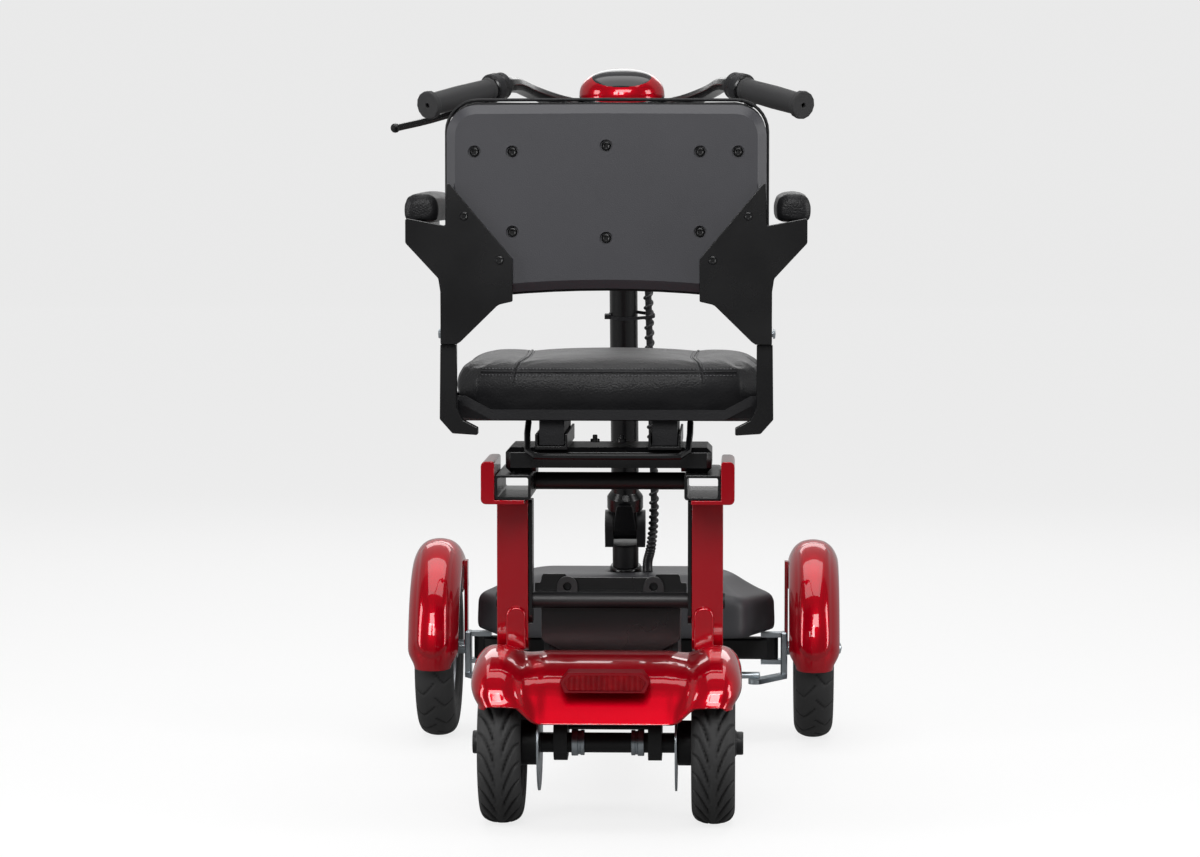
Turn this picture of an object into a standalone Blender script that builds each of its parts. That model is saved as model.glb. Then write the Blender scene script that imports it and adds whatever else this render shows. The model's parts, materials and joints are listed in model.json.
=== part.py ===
"""Folding mobility scooter: four wheels, folding seat tower, folding telescopic tiller.

Metres, +Z up, the scooter faces +Y. Sizes along Y are measured from the rear axle, and
the datum empty moves the whole so that the origin lies under the middle of the scooter.
"""

import math

import bmesh
import bpy
from mathutils import Matrix, Vector

# Fits
SEAT_GAP = 0.0003
RUNNING = 0.0006
WELD = 0.00001

# Rear wheels and axle
REAR_RADIUS = 0.100
REAR_TRACK = 0.262
REAR_TYRE_WIDTH = 0.054
REAR_RIM = 0.055
AXLE_TUBE_RADIUS = 0.0125
COLLAR_RADIUS = 0.0165
STUB_RADIUS = 0.0075
DISC_RADIUS = 0.060
DISC_INSET = 0.0473
DISC_THICK = 0.0025
DRUM_RADIUS = 0.028
HUB_BORE_REACH = 0.024
HUB_CAP_REACH = 0.037
WHEEL_STEPS = 24
HUB_STEPS = 18
DISC_INNER = REAR_TRACK / 2 - DISC_INSET
HUB_INNER = DISC_INNER + DISC_THICK + SEAT_GAP
HUB_BORE_END = REAR_TRACK / 2 + HUB_BORE_REACH
HUB_CAP_FACE = REAR_TRACK / 2 + HUB_CAP_REACH

# Front wheels and fenders
WHEELBASE = 0.750
FRONT_RADIUS = 0.127
FRONT_TRACK = 0.536
FRONT_TYRE_WIDTH = 0.055
FRONT_RIM = 0.0735
FRONT_STUB = 0.006
FRONT_HUB_INSET = 0.026
FRONT_HUB_REACH = 0.025
AXLE_NUT_REACH = 0.041
FENDER_RADIUS = 0.155
FENDER_INSET = 0.036
FENDER_REACH = 0.035
FENDER_WALL = 0.003
FENDER_SKIRT = 0.036
FENDER_AHEAD = math.radians(60)
FENDER_BEHIND = math.radians(96)
FRONT_HUB_INNER = FRONT_TRACK / 2 - FRONT_HUB_INSET
FRONT_HUB_OUTER = FRONT_TRACK / 2 + FRONT_HUB_REACH
AXLE_END = FRONT_TRACK / 2 + AXLE_NUT_REACH
FENDER_INNER = FRONT_TRACK / 2 - FENDER_INSET
FENDER_OUTER = FRONT_TRACK / 2 + FENDER_REACH

# Steering
KINGPIN_INSET = 0.063
KINGPIN_RADIUS = 0.005
BOSS_HALF = 0.0155
KNUCKLE_LAND = 0.0007
AXLE_BEAM_HALF = 0.015
ARM_LENGTH = 0.070
ARM_INSET = 0.020
TIE_ROD_DROP = 0.0305
TIE_ROD_RADIUS = 0.005
DROP_ARM_THICK = 0.006
STEER_LIMIT = math.radians(20)
TILLER_LEAN = math.radians(15)
TILLER_SETBACK = 0.015
TILLER_FOOT_Z = 0.230
KINGPIN_X = FRONT_TRACK / 2 - KINGPIN_INSET
TIE_ROD_Y = WHEELBASE - ARM_LENGTH
TIE_ROD_Z = FRONT_RADIUS - TIE_ROD_DROP
ARM_TOP_Z = TIE_ROD_Z - TIE_ROD_RADIUS - SEAT_GAP
DROP_ARM_LOW = TIE_ROD_Z + TIE_ROD_RADIUS + 0.001
TILLER_FOOT = Vector((0, WHEELBASE - TILLER_SETBACK, TILLER_FOOT_Z))

# Tiller, measured along its own axis from TILLER_FOOT
STEM_RADIUS = 0.0125
STEM_NECK = 0.0185
HEAD_TUBE_RADIUS = 0.0195
HEAD_TUBE_SINK = 0.0086
COLUMN_COLLAR_RADIUS = 0.0225
COLLAR_HEIGHT = 0.0185
COLLAR_ROOM = 0.003
FOLD_AT = 0.0787
FOLD_LOBE = 0.022
FOLD_PIN = 0.006
LUG_HALF = 0.0168
FORK_HALF = 0.0285
LOWER_TUBE_RADIUS = 0.0195
LOWER_TUBE_WALL = 0.0025
LOWER_TUBE_END = 0.470
LOWER_TUBE_SHOULDER = 0.006
UPPER_TUBE_RADIUS = 0.01625
UPPER_TUBE_WALL = 0.003
UPPER_TUBE_START = 0.280
LATCH_RISE = 0.040
LATCH_THICK = 0.006
HEAD_AT = 0.6875
HEAD_HALF = 0.0165
STEM_FOOT = (DROP_ARM_LOW + 0.65 * DROP_ARM_THICK - TILLER_FOOT_Z) / math.cos(TILLER_LEAN)
CROWN_SEAT = FRONT_RADIUS + AXLE_BEAM_HALF - HEAD_TUBE_SINK
HEAD_TUBE_FOOT = (CROWN_SEAT - TILLER_FOOT_Z) / math.cos(TILLER_LEAN)
LATCH_AT = FOLD_AT + LATCH_RISE
LATCH_BACK = LOWER_TUBE_RADIUS + LOWER_TUBE_SHOULDER + SEAT_GAP

# Handlebar, dash and loom, placed from the middle of the tiller head
BAR_RADIUS = 0.011
GRIP_RADIUS = 0.0145
GRIP_FLANGE = 0.0185
GRIP_LENGTH = 0.127
GRIP_FROM_HEAD = Vector((0.169, -0.1971, 0.0219))
GRIP_LINE = Vector((0.075, -0.100, -0.023)).normalized()
BALL_FROM_HEAD = Vector((-0.289, -0.2571, -0.0296))
BALL_RADIUS = 0.0065
CLAMP_RADIUS = 0.018
CLAMP_LENGTH = 0.022
LEVER_LUG_RADIUS = 0.0085
LEVER_LUG_END = 0.031
LEVER_RADIUS = 0.005
DASH_HALF = 0.0585
DASH_LENGTH = 0.047
DASH_RISE = 0.034
DASH_SIDES = 20
SCREEN_THICK = 0.003
LOOM_RADIUS = 0.0064
WRAP_PITCH = 0.011
CLAMP_MIDDLE = CLAMP_LENGTH / 2

# Front deck
DECK_INSET = 0.016
DECK_BEHIND = 0.128
DECK_AHEAD = 0.108
DECK_BOTTOM = 0.153
DECK_EDGE_TOP = 0.221
DECK_TOP = 0.240
DECK_WALL = 0.004
DECK_HALF_WIDTH = FENDER_INNER - DECK_INSET
DECK_REAR = WHEELBASE - DECK_BEHIND
DECK_FRONT = WHEELBASE + DECK_AHEAD

# Rear cover
COVER_RISE = 0.107
COVER_OVERHANG = 0.035
COVER_REAR = 0.115
COVER_SKIRT = 0.066
ARCH_SKIRT = 0.047
ARCH_INSET = 0.047
COVER_WALL = 0.003
LENS_WIDTH = 0.113
LENS_HEIGHT = 0.025
LENS_POINT = 0.014
LENS_THICK = 0.006
COVER_TOP = REAR_RADIUS + COVER_RISE
COVER_HALF_WIDTH = REAR_TRACK / 2 + COVER_OVERHANG

# Frame, pivot and battery
BEAM_HALF_WIDTH = 0.035
BEAM_HEIGHT = 0.0406
BEAM_TOP = 0.1526
YOKE_REAR = 0.026
YOKE_FRONT = 0.062
HANGER_INNER = 0.050
HANGER_OUTER = 0.067
POST_X = 0.058
POST_Y = -0.012
POST_RADIUS = 0.006
FOLD_Y = 0.090
FOLD_Z = 0.268
FOLD_TUBE_RADIUS = 0.0105
EAR_X = 0.0545
EAR_RADIUS = 0.013
EAR_HOLE = 0.0055
EAR_RISE = 0.017
EAR_THICK = 0.005
BRACKET_SHEET = 0.006
BRACKET_ROOM = 0.015
TAB_WIDTH = 0.018
TAB_RISE = 0.032
BATTERY_LENGTH = 0.260
BATTERY_TOP = 0.257
BATTERY_ROOM = 0.013
BATTERY_RIBS = 7
BEAM_BOTTOM = BEAM_TOP - BEAM_HEIGHT

# Seat tower
BASE_HALF_WIDTH = 0.128
BASE_REAR = 0.014
BASE_DEPTH = 0.124
BASE_HEIGHT = 0.0312
BASE_WALL = 0.005
RAIL_MARGIN = 0.0115
RAIL_WIDTH = 0.045
RAIL_HEIGHT = 0.031
RAIL_WALL = 0.0035
RAIL_REAR = -0.020
RAIL_FRONT = 0.160
CROSS_TUBE_RADIUS = 0.011
UPRIGHT_LAP = 0.0025
UPRIGHT_WIDTH = 0.039
UPRIGHT_DEPTH = 0.046
UPRIGHT_DROP = 0.063
UPRIGHT_TOP = 0.3977
TOWER_PLATE = 0.005
BLOCK_FLOOR = 0.0052
BLOCK_CHEEK = 0.0167
BLOCK_RISE = 0.0475
BLOCK_FRONT = 0.112
SLIDE_X = 0.070
SLIDE_HALF = 0.020
SLIDE_RISE = 0.018
SLIDE_WALL = 0.003
RAIL_OUTER = BASE_HALF_WIDTH + RAIL_MARGIN
RAIL_INNER = RAIL_OUTER - RAIL_WIDTH
RAIL_BOTTOM = UPRIGHT_TOP + BLOCK_FLOOR + 2 * SEAT_GAP
BASE_BOTTOM = RAIL_BOTTOM + RAIL_HEIGHT + SEAT_GAP
BASE_TOP = BASE_BOTTOM + BASE_HEIGHT
BLOCK_OUTER = RAIL_OUTER + SEAT_GAP + BLOCK_CHEEK
BLOCK_TOP = RAIL_BOTTOM + BLOCK_RISE
UPRIGHT_OUTER = RAIL_OUTER + UPRIGHT_LAP
UPRIGHT_INNER = UPRIGHT_OUTER - UPRIGHT_WIDTH
BATTERY_HALF_WIDTH = UPRIGHT_INNER - TOWER_PLATE - BATTERY_ROOM
SLIDE_TOP = BASE_TOP + SLIDE_RISE

# Seat
PAN_RISE = 0.034
PAN_HALF_WIDTH = 0.195
PAN_REAR = -0.010
PAN_FRONT = 0.335
PAN_RIM = 0.0265
PAN_WALL = 0.003
CUSHION_RISE = 0.063
CUSHION_REAR = -0.002
CUSHION_SIDES = 34
HINGE_Y = -0.050
HINGE_RISE = 0.110
HINGE_RADIUS = 0.011
HINGE_PIN = 0.004
HINGE_ARM_INSET = 0.0025
HINGE_ARM_THICK = 0.0075
HINGE_LUG_THICK = 0.009
RELEASE_X = 0.101
RELEASE_Y = 0.050
RELEASE_RADIUS = 0.004
PAN_BOTTOM = BASE_TOP + PAN_RISE
CUSHION_TOP = PAN_BOTTOM + CUSHION_RISE
HINGE_Z = PAN_BOTTOM + HINGE_RISE
HINGE_ARM_OUTER = PAN_HALF_WIDTH - HINGE_ARM_INSET
HINGE_ARM_INNER = HINGE_ARM_OUTER - HINGE_ARM_THICK
HINGE_LUG_OUTER = HINGE_ARM_OUTER + HINGE_LUG_THICK
RELEASE_Z = PAN_BOTTOM - RELEASE_RADIUS - SEAT_GAP

# Backrest and armrests
BACK_HALF_WIDTH = 0.1945
BACK_REAR = -0.070
BACK_FRONT = -0.010
BACK_LIFT = 0.045
BACK_HEIGHT = 0.233
BACK_CORNER = 0.037
BACK_ARCH = 0.010
SHELL_DEPTH = 0.022
SHELL_WALL = 0.0035
BRACKET_THICK = 0.0055
BRACKET_INNER = 0.113
ARM_PIVOT_Y = -0.056
ARM_PIVOT_RISE = 0.080
ARM_LUG = 0.0085
ARM_INNER = 0.209
ARM_OUTER = 0.246
ARM_FRONT = 0.200
ARM_PAD_HEIGHT = 0.0245
GUSSET_INSET = 0.002
GUSSET_THICK = 0.0072
BEAM_INSET = 0.012
BACK_BOTTOM = HINGE_Z + BACK_LIFT
BACK_TOP = BACK_BOTTOM + BACK_HEIGHT
ARM_PIVOT_Z = BACK_BOTTOM + ARM_PIVOT_RISE
ARM_PAD_LOW = ARM_PIVOT_Z + ARM_LUG + 0.002
ARM_TOP = ARM_PAD_LOW + ARM_PAD_HEIGHT
GUSSET_OUTER = ARM_OUTER - GUSSET_INSET
ARM_BAR_INNER = ARM_INNER + BEAM_INSET
ARM_BAR_OUTER = GUSSET_OUTER - GUSSET_THICK - RUNNING

FRONT_REACH = WHEELBASE + FENDER_RADIUS * math.sin(FENDER_AHEAD)
REAR_REACH = COVER_REAR + LENS_THICK
DATUM_Y = (REAR_REACH - FRONT_REACH) / 2


# Modelling tools

for old in list(bpy.data.objects):
    bpy.data.objects.remove(old)
PARTS = bpy.data.collections.new("mobility_scooter")
bpy.context.scene.collection.children.link(PARTS)

X_AXIS = Vector((1, 0, 0))
Z_AXIS = Vector((0, 0, 1))
TILLER_AXIS = Vector((0, -math.sin(TILLER_LEAN), math.cos(TILLER_LEAN)))
FACING_Y = Matrix.Rotation(math.radians(90), 4, "X")
FACING_X = Matrix(((0, 0, 1, 0), (1, 0, 0, 0), (0, 1, 0, 0), (0, 0, 0, 1)))


def linked(data):
    obj = bpy.data.objects.new("piece", data)
    PARTS.objects.link(obj)
    return obj


def baked(obj):
    """Applies the modifiers, welds the mesh and turns its faces outwards."""
    graph = bpy.context.evaluated_depsgraph_get()
    mesh = bpy.data.meshes.new_from_object(obj.evaluated_get(graph))
    mesh.transform(obj.matrix_basis)
    bpy.data.objects.remove(obj)
    work = bmesh.new()
    work.from_mesh(mesh)
    bmesh.ops.remove_doubles(work, verts=work.verts, dist=WELD)
    bmesh.ops.recalc_face_normals(work, faces=work.faces)
    work.to_mesh(mesh)
    work.free()
    return linked(mesh)


def from_bmesh(work):
    mesh = bpy.data.meshes.new("piece")
    work.to_mesh(mesh)
    work.free()
    return linked(mesh)


def bevelled(obj, width, segments=1, angle=math.radians(30)):
    modifier = obj.modifiers.new("round_edges", "BEVEL")
    modifier.width = width
    modifier.segments = segments
    modifier.limit_method = "ANGLE"
    modifier.angle_limit = angle
    return baked(obj)


def block(low, high, edge=0.0, segments=1):
    """A box between two corners, with its edges rounded by edge."""
    low, high = Vector(low), Vector(high)
    work = bmesh.new()
    place = Matrix.Translation((low + high) / 2) @ Matrix.Diagonal((*(high - low), 1))
    bmesh.ops.create_cube(work, size=1, matrix=place)
    obj = from_bmesh(work)
    return bevelled(obj, edge, segments) if edge else obj


def side_block(side, low, high, edge=0.0, segments=1):
    """A box given for the right side, on the side asked for."""
    if side < 0:
        low, high = (-high[0], low[1], low[2]), (-low[0], high[1], high[2])
    return block(low, high, edge, segments)


def rod(start, end, radius, sides=12):
    """A round bar from start to end."""
    start, end = Vector(start), Vector(end)
    turn = (end - start).to_track_quat("Z", "Y").to_matrix().to_4x4()
    work = bmesh.new()
    bmesh.ops.create_cone(
        work,
        cap_ends=True,
        segments=sides,
        radius1=radius,
        radius2=radius,
        depth=(end - start).length,
        matrix=Matrix.Translation((start + end) / 2) @ turn,
    )
    return from_bmesh(work)


def turned(profile, origin=(0, 0, 0), axis=Z_AXIS, steps=18, closed=True):
    """Revolves (radius, height) points about axis: a closed profile is a ring, an open one a plug."""
    mesh = bpy.data.meshes.new("profile")
    count = len(profile)
    edges = [(i, i + 1) for i in range(count - 1)]
    if closed:
        edges.append((count - 1, 0))
    mesh.from_pydata([(r, 0, h) for r, h in profile], edges, [])
    obj = linked(mesh)
    screw = obj.modifiers.new("turn", "SCREW")
    screw.steps = steps
    screw.render_steps = steps
    screw.use_merge_vertices = True
    screw.merge_threshold = WELD
    turn = Vector(axis).to_track_quat("Z", "Y").to_matrix().to_4x4()
    obj.matrix_basis = Matrix.Translation(origin) @ turn
    return baked(obj)


def arc(centre, radius, start, end, steps=6):
    """Points of an arc in a plane, from start to end in degrees."""
    turns = [math.radians(start + (end - start) * i / steps) for i in range(steps + 1)]
    return [(centre[0] + radius * math.cos(t), centre[1] + radius * math.sin(t)) for t in turns]


def circle(centre, radius, steps=12):
    return arc(centre, radius, 0, 360 - 360 / steps, steps - 1)


def rounded(corners, steps=3):
    """An outline with each (x, y, radius) corner filleted."""
    points = []
    count = len(corners)
    for i, (x, y, radius) in enumerate(corners):
        here = Vector((x, y))
        if not radius:
            points.append((x, y))
            continue
        before = (Vector(corners[i - 1][:2]) - here).normalized()
        after = (Vector(corners[(i + 1) % count][:2]) - here).normalized()
        half = before.angle(after) / 2
        reach = radius / math.tan(half)
        middle = here + (before + after).normalized() * radius / math.sin(half)
        first = here + before * reach - middle
        sweep = first.angle_signed(here + after * reach - middle)
        for k in range(steps + 1):
            turn = Matrix.Rotation(-sweep * k / steps, 2)
            points.append(tuple(middle + turn @ first))
    return points


def plate(loops, thickness, place=Matrix()):
    """A flat sheet: the first loop is its outline, the others are holes. place carries its plane's middle."""
    data = bpy.data.curves.new("outline", "CURVE")
    data.dimensions = "2D"
    data.fill_mode = "BOTH"
    data.extrude = thickness / 2
    for loop in loops:
        spline = data.splines.new("POLY")
        spline.points.add(len(loop) - 1)
        for point, (x, y) in zip(spline.points, loop):
            point.co = (x, y, 0, 1)
        spline.use_cyclic_u = True
    obj = linked(data)
    obj.matrix_basis = place
    return baked(obj)


def upright_plate(loops, low_y, high_y):
    """A sheet whose outline is given in X and Z."""
    return plate(loops, high_y - low_y, Matrix.Translation((0, (low_y + high_y) / 2, 0)) @ FACING_Y)


def side_plate(loops, low_x, high_x):
    """A sheet whose outline is given in Y and Z."""
    return plate(loops, high_x - low_x, Matrix.Translation(((low_x + high_x) / 2, 0, 0)) @ FACING_X)


def flat_plate(loops, low_z, high_z):
    return plate(loops, high_z - low_z, Matrix.Translation((0, 0, (low_z + high_z) / 2)))


def smooth_path(points, per_span=6):
    """Points of a Catmull-Rom curve through the points given."""
    ends = [2 * points[0] - points[1], *points, 2 * points[-1] - points[-2]]
    path = []
    for a, b, c, d in zip(ends, ends[1:], ends[2:], ends[3:]):
        for k in range(per_span):
            t = k / per_span
            square, cube = 2 * a - 5 * b + 4 * c - d, 3 * b - a - 3 * c + d
            path.append(0.5 * (2 * b + (c - a) * t + square * t**2 + cube * t**3))
    return [*path, points[-1]]


def swept(points, radius, resolution=2, scales=None):
    """A round bar along the points, with filled ends."""
    data = bpy.data.curves.new("path", "CURVE")
    data.dimensions = "3D"
    data.bevel_depth = radius
    data.bevel_resolution = resolution
    data.use_fill_caps = True
    data.twist_mode = "MINIMUM"
    spline = data.splines.new("POLY")
    spline.points.add(len(points) - 1)
    for i, point in enumerate(points):
        spline.points[i].co = (*point, 1)
        spline.points[i].radius = scales[i] if scales else 1
    return baked(linked(data))


def loft(rings, capped=True):
    """A skin over rings of equal count; each ring closes on itself."""
    work = bmesh.new()
    rows = [[work.verts.new(point) for point in ring] for ring in rings]
    for lower, upper in zip(rows, rows[1:]):
        for i in range(len(lower)):
            j = (i + 1) % len(lower)
            work.faces.new((lower[i], lower[j], upper[j], upper[i]))
    if capped:
        work.faces.new(rows[0])
        work.faces.new(rows[-1])
    bmesh.ops.recalc_face_normals(work, faces=work.faces)
    return from_bmesh(work)


def sheet(rows, wall):
    """An open skin over rows of points, given a wall on its inner side."""
    work = bmesh.new()
    grid = [[work.verts.new(point) for point in row] for row in rows]
    for first, second in zip(grid, grid[1:]):
        for i in range(len(first) - 1):
            work.faces.new((first[i], first[i + 1], second[i + 1], second[i]))
    obj = from_bmesh(work)
    solidify = obj.modifiers.new("wall", "SOLIDIFY")
    solidify.thickness = wall
    solidify.offset = -1
    solidify.use_even_offset = True
    return baked(obj)


def boolean(obj, other, operation):
    modifier = obj.modifiers.new(operation, "BOOLEAN")
    modifier.operation = operation
    modifier.object = other
    result = baked(obj)
    bpy.data.objects.remove(other)
    return result


def joined(first, *others):
    for other in others:
        first = boolean(first, other, "UNION")
    return first


def cut(first, *others):
    for other in others:
        first = boolean(first, other, "DIFFERENCE")
    return first


def finish(name, colour, roughness, metallic=0.0):
    material = bpy.data.materials.new(name)
    material.use_nodes = True
    shader = material.node_tree.nodes["Principled BSDF"]
    shader.inputs["Base Color"].default_value = (*colour, 1)
    shader.inputs["Roughness"].default_value = roughness
    shader.inputs["Metallic"].default_value = metallic
    return material


def pivot(name, place, parent):
    """An empty on a joint's axis. Its pieces and the joints further out hang from it."""
    empty = bpy.data.objects.new(name, None)
    PARTS.objects.link(empty)
    empty.parent = parent
    empty["place"] = tuple(place)
    empty.location = Vector(place) - Vector(parent["place"] if parent else (0, 0, 0))
    empty.empty_display_size = 0.05
    return empty


def part(obj, name, material, holder, crease=math.radians(35)):
    """Names a finished piece, gives it its finish and hangs it from its holder."""
    obj.name = name
    obj.data.name = name
    obj.data.materials.clear()
    obj.data.materials.append(material)
    obj.data.shade_smooth()
    obj.data.set_sharp_from_angle(angle=crease)
    obj.data.transform(Matrix.Translation(-Vector(holder["place"])))
    obj.parent = holder
    return obj


def along(distance, x=0.0, back=0.0):
    """A point of the tiller: distance up its axis, x to the right, back towards the rider."""
    rear = Vector((0, -math.cos(TILLER_LEAN), -math.sin(TILLER_LEAN)))
    return TILLER_FOOT + TILLER_AXIS * distance + X_AXIS * x + rear * back


SIDES = {"l": -1, "r": 1}

RED = finish("candy_red", (0.62, 0.004, 0.012), 0.16)
BLACK = finish("gloss_black", (0.012, 0.012, 0.013), 0.25)
SATIN = finish("satin_black", (0.025, 0.025, 0.027), 0.5)
SHELL_GREY = finish("shell_grey", (0.046, 0.046, 0.056), 0.45)
DECK_GREY = finish("deck_grey", (0.042, 0.042, 0.048), 0.55)
LEATHER = finish("leather", (0.012, 0.012, 0.013), 0.5)
RUBBER = finish("tyre_rubber", (0.022, 0.022, 0.022), 0.8)
ZINC = finish("zinc", (0.45, 0.50, 0.55), 0.35, 1.0)
RIM_GREY = finish("rim_grey", (0.42, 0.43, 0.45), 0.4, 0.3)
LENS = finish("lens_red", (0.25, 0.004, 0.008), 0.12)
DISPLAY = finish("display", (0.010, 0.010, 0.012), 0.08)
LOOM = finish("loom_wrap", (0.018, 0.018, 0.019), 0.45)

DATUM = pivot("datum", (0, 0, 0), None)
DATUM.location.y = DATUM_Y


# Chassis


def tiller_rod(start, end, radius, sides=18):
    return rod(along(start), along(end), radius, sides)


def main_frame():
    """A box beam from the rear yoke to the front axle, with axle hangers and cover posts."""
    axle_hole = AXLE_TUBE_RADIUS + SEAT_GAP
    beam = block(
        (-BEAM_HALF_WIDTH, YOKE_REAR + 0.010, BEAM_BOTTOM),
        (BEAM_HALF_WIDTH, WHEELBASE - AXLE_BEAM_HALF - SEAT_GAP, BEAM_TOP),
        0.004,
    )
    yoke = block(
        (-HANGER_OUTER, YOKE_REAR, BEAM_BOTTOM), (HANGER_OUTER, YOKE_FRONT, BEAM_TOP - 0.002), 0.003
    )
    frame = joined(beam, yoke)
    lug_front, lug_top = YOKE_FRONT - 0.004, BEAM_TOP - 0.0026
    lug = rounded(
        [
            (-0.024, REAR_RADIUS - 0.024, 0.022),
            (0.030, REAR_RADIUS - 0.020, 0.010),
            (lug_front, BEAM_BOTTOM + 0.004, 0.006),
            (lug_front, lug_top, 0.006),
            (0.020, lug_top, 0.010),
            (-0.024, REAR_RADIUS + 0.026, 0.022),
        ]
    )
    for side in SIDES.values():
        low, high = sorted((side * HANGER_INNER, side * HANGER_OUTER))
        hole = circle((0, REAR_RADIUS), axle_hole + SEAT_GAP, 16)
        post_foot = Vector((side * POST_X, POST_Y, REAR_RADIUS + 0.020))
        post_top = Vector((side * POST_X, POST_Y, COVER_TOP - COVER_WALL - 3 * SEAT_GAP))
        frame = joined(frame, side_plate([lug, hole], low, high), rod(post_foot, post_top, POST_RADIUS, 10))
    return part(frame, "main_frame", SATIN, DATUM)


def rear_axle_beam():
    """The axle tube with its two plated collars and the stubs that the rear hubs turn on."""
    half = [
        (AXLE_TUBE_RADIUS, 0.028),
        (COLLAR_RADIUS, 0.029),
        (COLLAR_RADIUS, 0.045),
        (AXLE_TUBE_RADIUS, 0.046),
        (AXLE_TUBE_RADIUS, DISC_INNER - 0.001),
        (STUB_RADIUS, DISC_INNER - 0.001),
        (STUB_RADIUS, HUB_BORE_END - RUNNING),
        (0, HUB_BORE_END - RUNNING),
    ]
    profile = [(r, -h) for r, h in reversed(half)] + half
    axle = turned(profile, (0, 0, REAR_RADIUS), X_AXIS, 16, closed=False)
    return part(axle, "rear_axle_beam", ZINC, DATUM)


def cover_profile(inset, lower):
    """The rear cover's section in Y and Z: a sloping rear face, a crown and an arch down over the wheel."""
    points = [
        (-COVER_REAR, lower),
        (-COVER_REAR + 0.001, COVER_TOP - 0.029),
        (-COVER_REAR + 0.007, COVER_TOP - 0.009),
        (-COVER_REAR + 0.022, COVER_TOP - 0.0022),
        (-0.045, COVER_TOP - 0.0004),
        (0.0, COVER_TOP),
        (0.030, COVER_TOP - 0.0045),
        (0.055, COVER_TOP - 0.0135),
        (0.078, COVER_TOP - 0.029),
        (0.095, COVER_TOP - 0.048),
        (0.104, COVER_TOP - 0.066),
    ]
    centre = Vector((0, REAR_RADIUS))
    moved = []
    for point in points:
        spoke = Vector(point) - centre
        moved.append(centre + spoke * (1 - inset / spoke.length))
    return moved


def rear_cover():
    """The glossy fender that spans both rear wheels, lower between them than over the wheel arches."""
    middle_edge, arch_edge = COVER_TOP - COVER_SKIRT, COVER_TOP - ARCH_SKIRT
    arch_inner = REAR_TRACK / 2 - ARCH_INSET
    arch_outer = arch_inner + 0.008
    half = [
        (0.0, 0.0, middle_edge),
        (arch_inner, 0.0, middle_edge),
        (arch_outer, 0.0, arch_edge),
        (COVER_HALF_WIDTH - 0.020, 0.0, arch_edge),
        (COVER_HALF_WIDTH - 0.008, 0.0016, arch_edge),
        (COVER_HALF_WIDTH - 0.002, 0.007, arch_edge),
        (COVER_HALF_WIDTH, 0.014, arch_edge),
        (COVER_HALF_WIDTH, 0.026, arch_edge),
    ]
    stations = [(-x, inset, low) for x, inset, low in reversed(half[1:])] + half
    rows = []
    for x, inset, low in reversed(stations):
        rows.append([(x, y, z) for y, z in cover_profile(inset, low)])
    cover = sheet(rows, COVER_WALL)
    opening = block((-arch_inner, YOKE_FRONT + 0.006, BEAM_BOTTOM), (arch_inner, 0.150, COVER_TOP))
    return part(cut(cover, opening), "rear_cover", RED, DATUM, math.radians(50))


def tail_light_lens():
    """A six-sided lens on the sloping rear face of the cover."""
    half_width, half_height = LENS_WIDTH / 2, LENS_HEIGHT / 2
    shoulder = half_width - LENS_POINT
    corners = [
        (-half_width, 0),
        (-shoulder, -half_height),
        (shoulder, -half_height),
        (half_width, 0),
        (shoulder, half_height),
        (-shoulder, half_height),
    ]
    outline = rounded([(x, z, 0.003) for x, z in corners], 2)
    low, high = (Vector(p) for p in cover_profile(0, COVER_TOP - ARCH_SKIRT)[1:3])
    slope = math.atan2(high.x - low.x, high.y - low.y)
    middle = (low + high) / 2
    out = LENS_THICK / 2 + SEAT_GAP
    centre = Vector((0, middle.x - out * math.cos(slope), middle.y + out * math.sin(slope)))
    turn = Matrix.Rotation(-slope, 4, "X") @ FACING_Y
    lens = bevelled(plate([outline], LENS_THICK, Matrix.Translation(centre) @ turn), 0.0015, 1)
    return part(lens, "tail_light_lens", LENS, DATUM)


def fold_pivot_tube():
    """The cross tube that the seat tower folds about, with its two hitch ears."""
    reach = UPRIGHT_OUTER + 0.0025
    ear_rear, ear_front = FOLD_Y - EAR_THICK / 2, FOLD_Y + EAR_THICK / 2
    tube = rod((-reach, FOLD_Y, FOLD_Z), (reach, FOLD_Y, FOLD_Z), FOLD_TUBE_RADIUS, 18)
    for side in SIDES.values():
        x = side * EAR_X
        top = FOLD_Z + EAR_RISE
        outline = [
            (x + EAR_RADIUS, FOLD_Z),
            *arc((x, top), EAR_RADIUS, 0, 180, 10),
            (x - EAR_RADIUS, FOLD_Z),
        ]
        ear = upright_plate([outline, circle((x, top), EAR_HOLE, 12)], ear_rear, ear_front)
        tube = joined(tube, ear)
    return part(tube, "fold_pivot_tube", SATIN, DATUM)


def pivot_bracket():
    """The plate on the beam that carries the pivot tube, with raised tabs at both ends."""
    rear = FOLD_Y + FOLD_TUBE_RADIUS + SEAT_GAP
    half = UPRIGHT_INNER - BRACKET_ROOM
    shoulder, waist = half - TAB_WIDTH, half - TAB_WIDTH - 0.010
    tab_top, notch = FOLD_Z + TAB_RISE, FOLD_Z + 0.010
    flare_low, flare_high = FOLD_Z - 0.068, FOLD_Z - 0.053
    outline = rounded(
        [
            (-waist, BEAM_TOP + SEAT_GAP, 0),
            (waist, BEAM_TOP + SEAT_GAP, 0),
            (waist, flare_low, 0.008),
            (half, flare_high, 0.008),
            (half, tab_top, 0.005),
            (shoulder, tab_top, 0.005),
            (shoulder, notch, 0.005),
            (-shoulder, notch, 0.005),
            (-shoulder, tab_top, 0.005),
            (-half, tab_top, 0.005),
            (-half, flare_high, 0.008),
            (-waist, flare_low, 0.008),
        ],
        3,
    )
    return part(upright_plate([outline], rear, rear + BRACKET_SHEET), "pivot_bracket", BLACK, DATUM)


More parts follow.
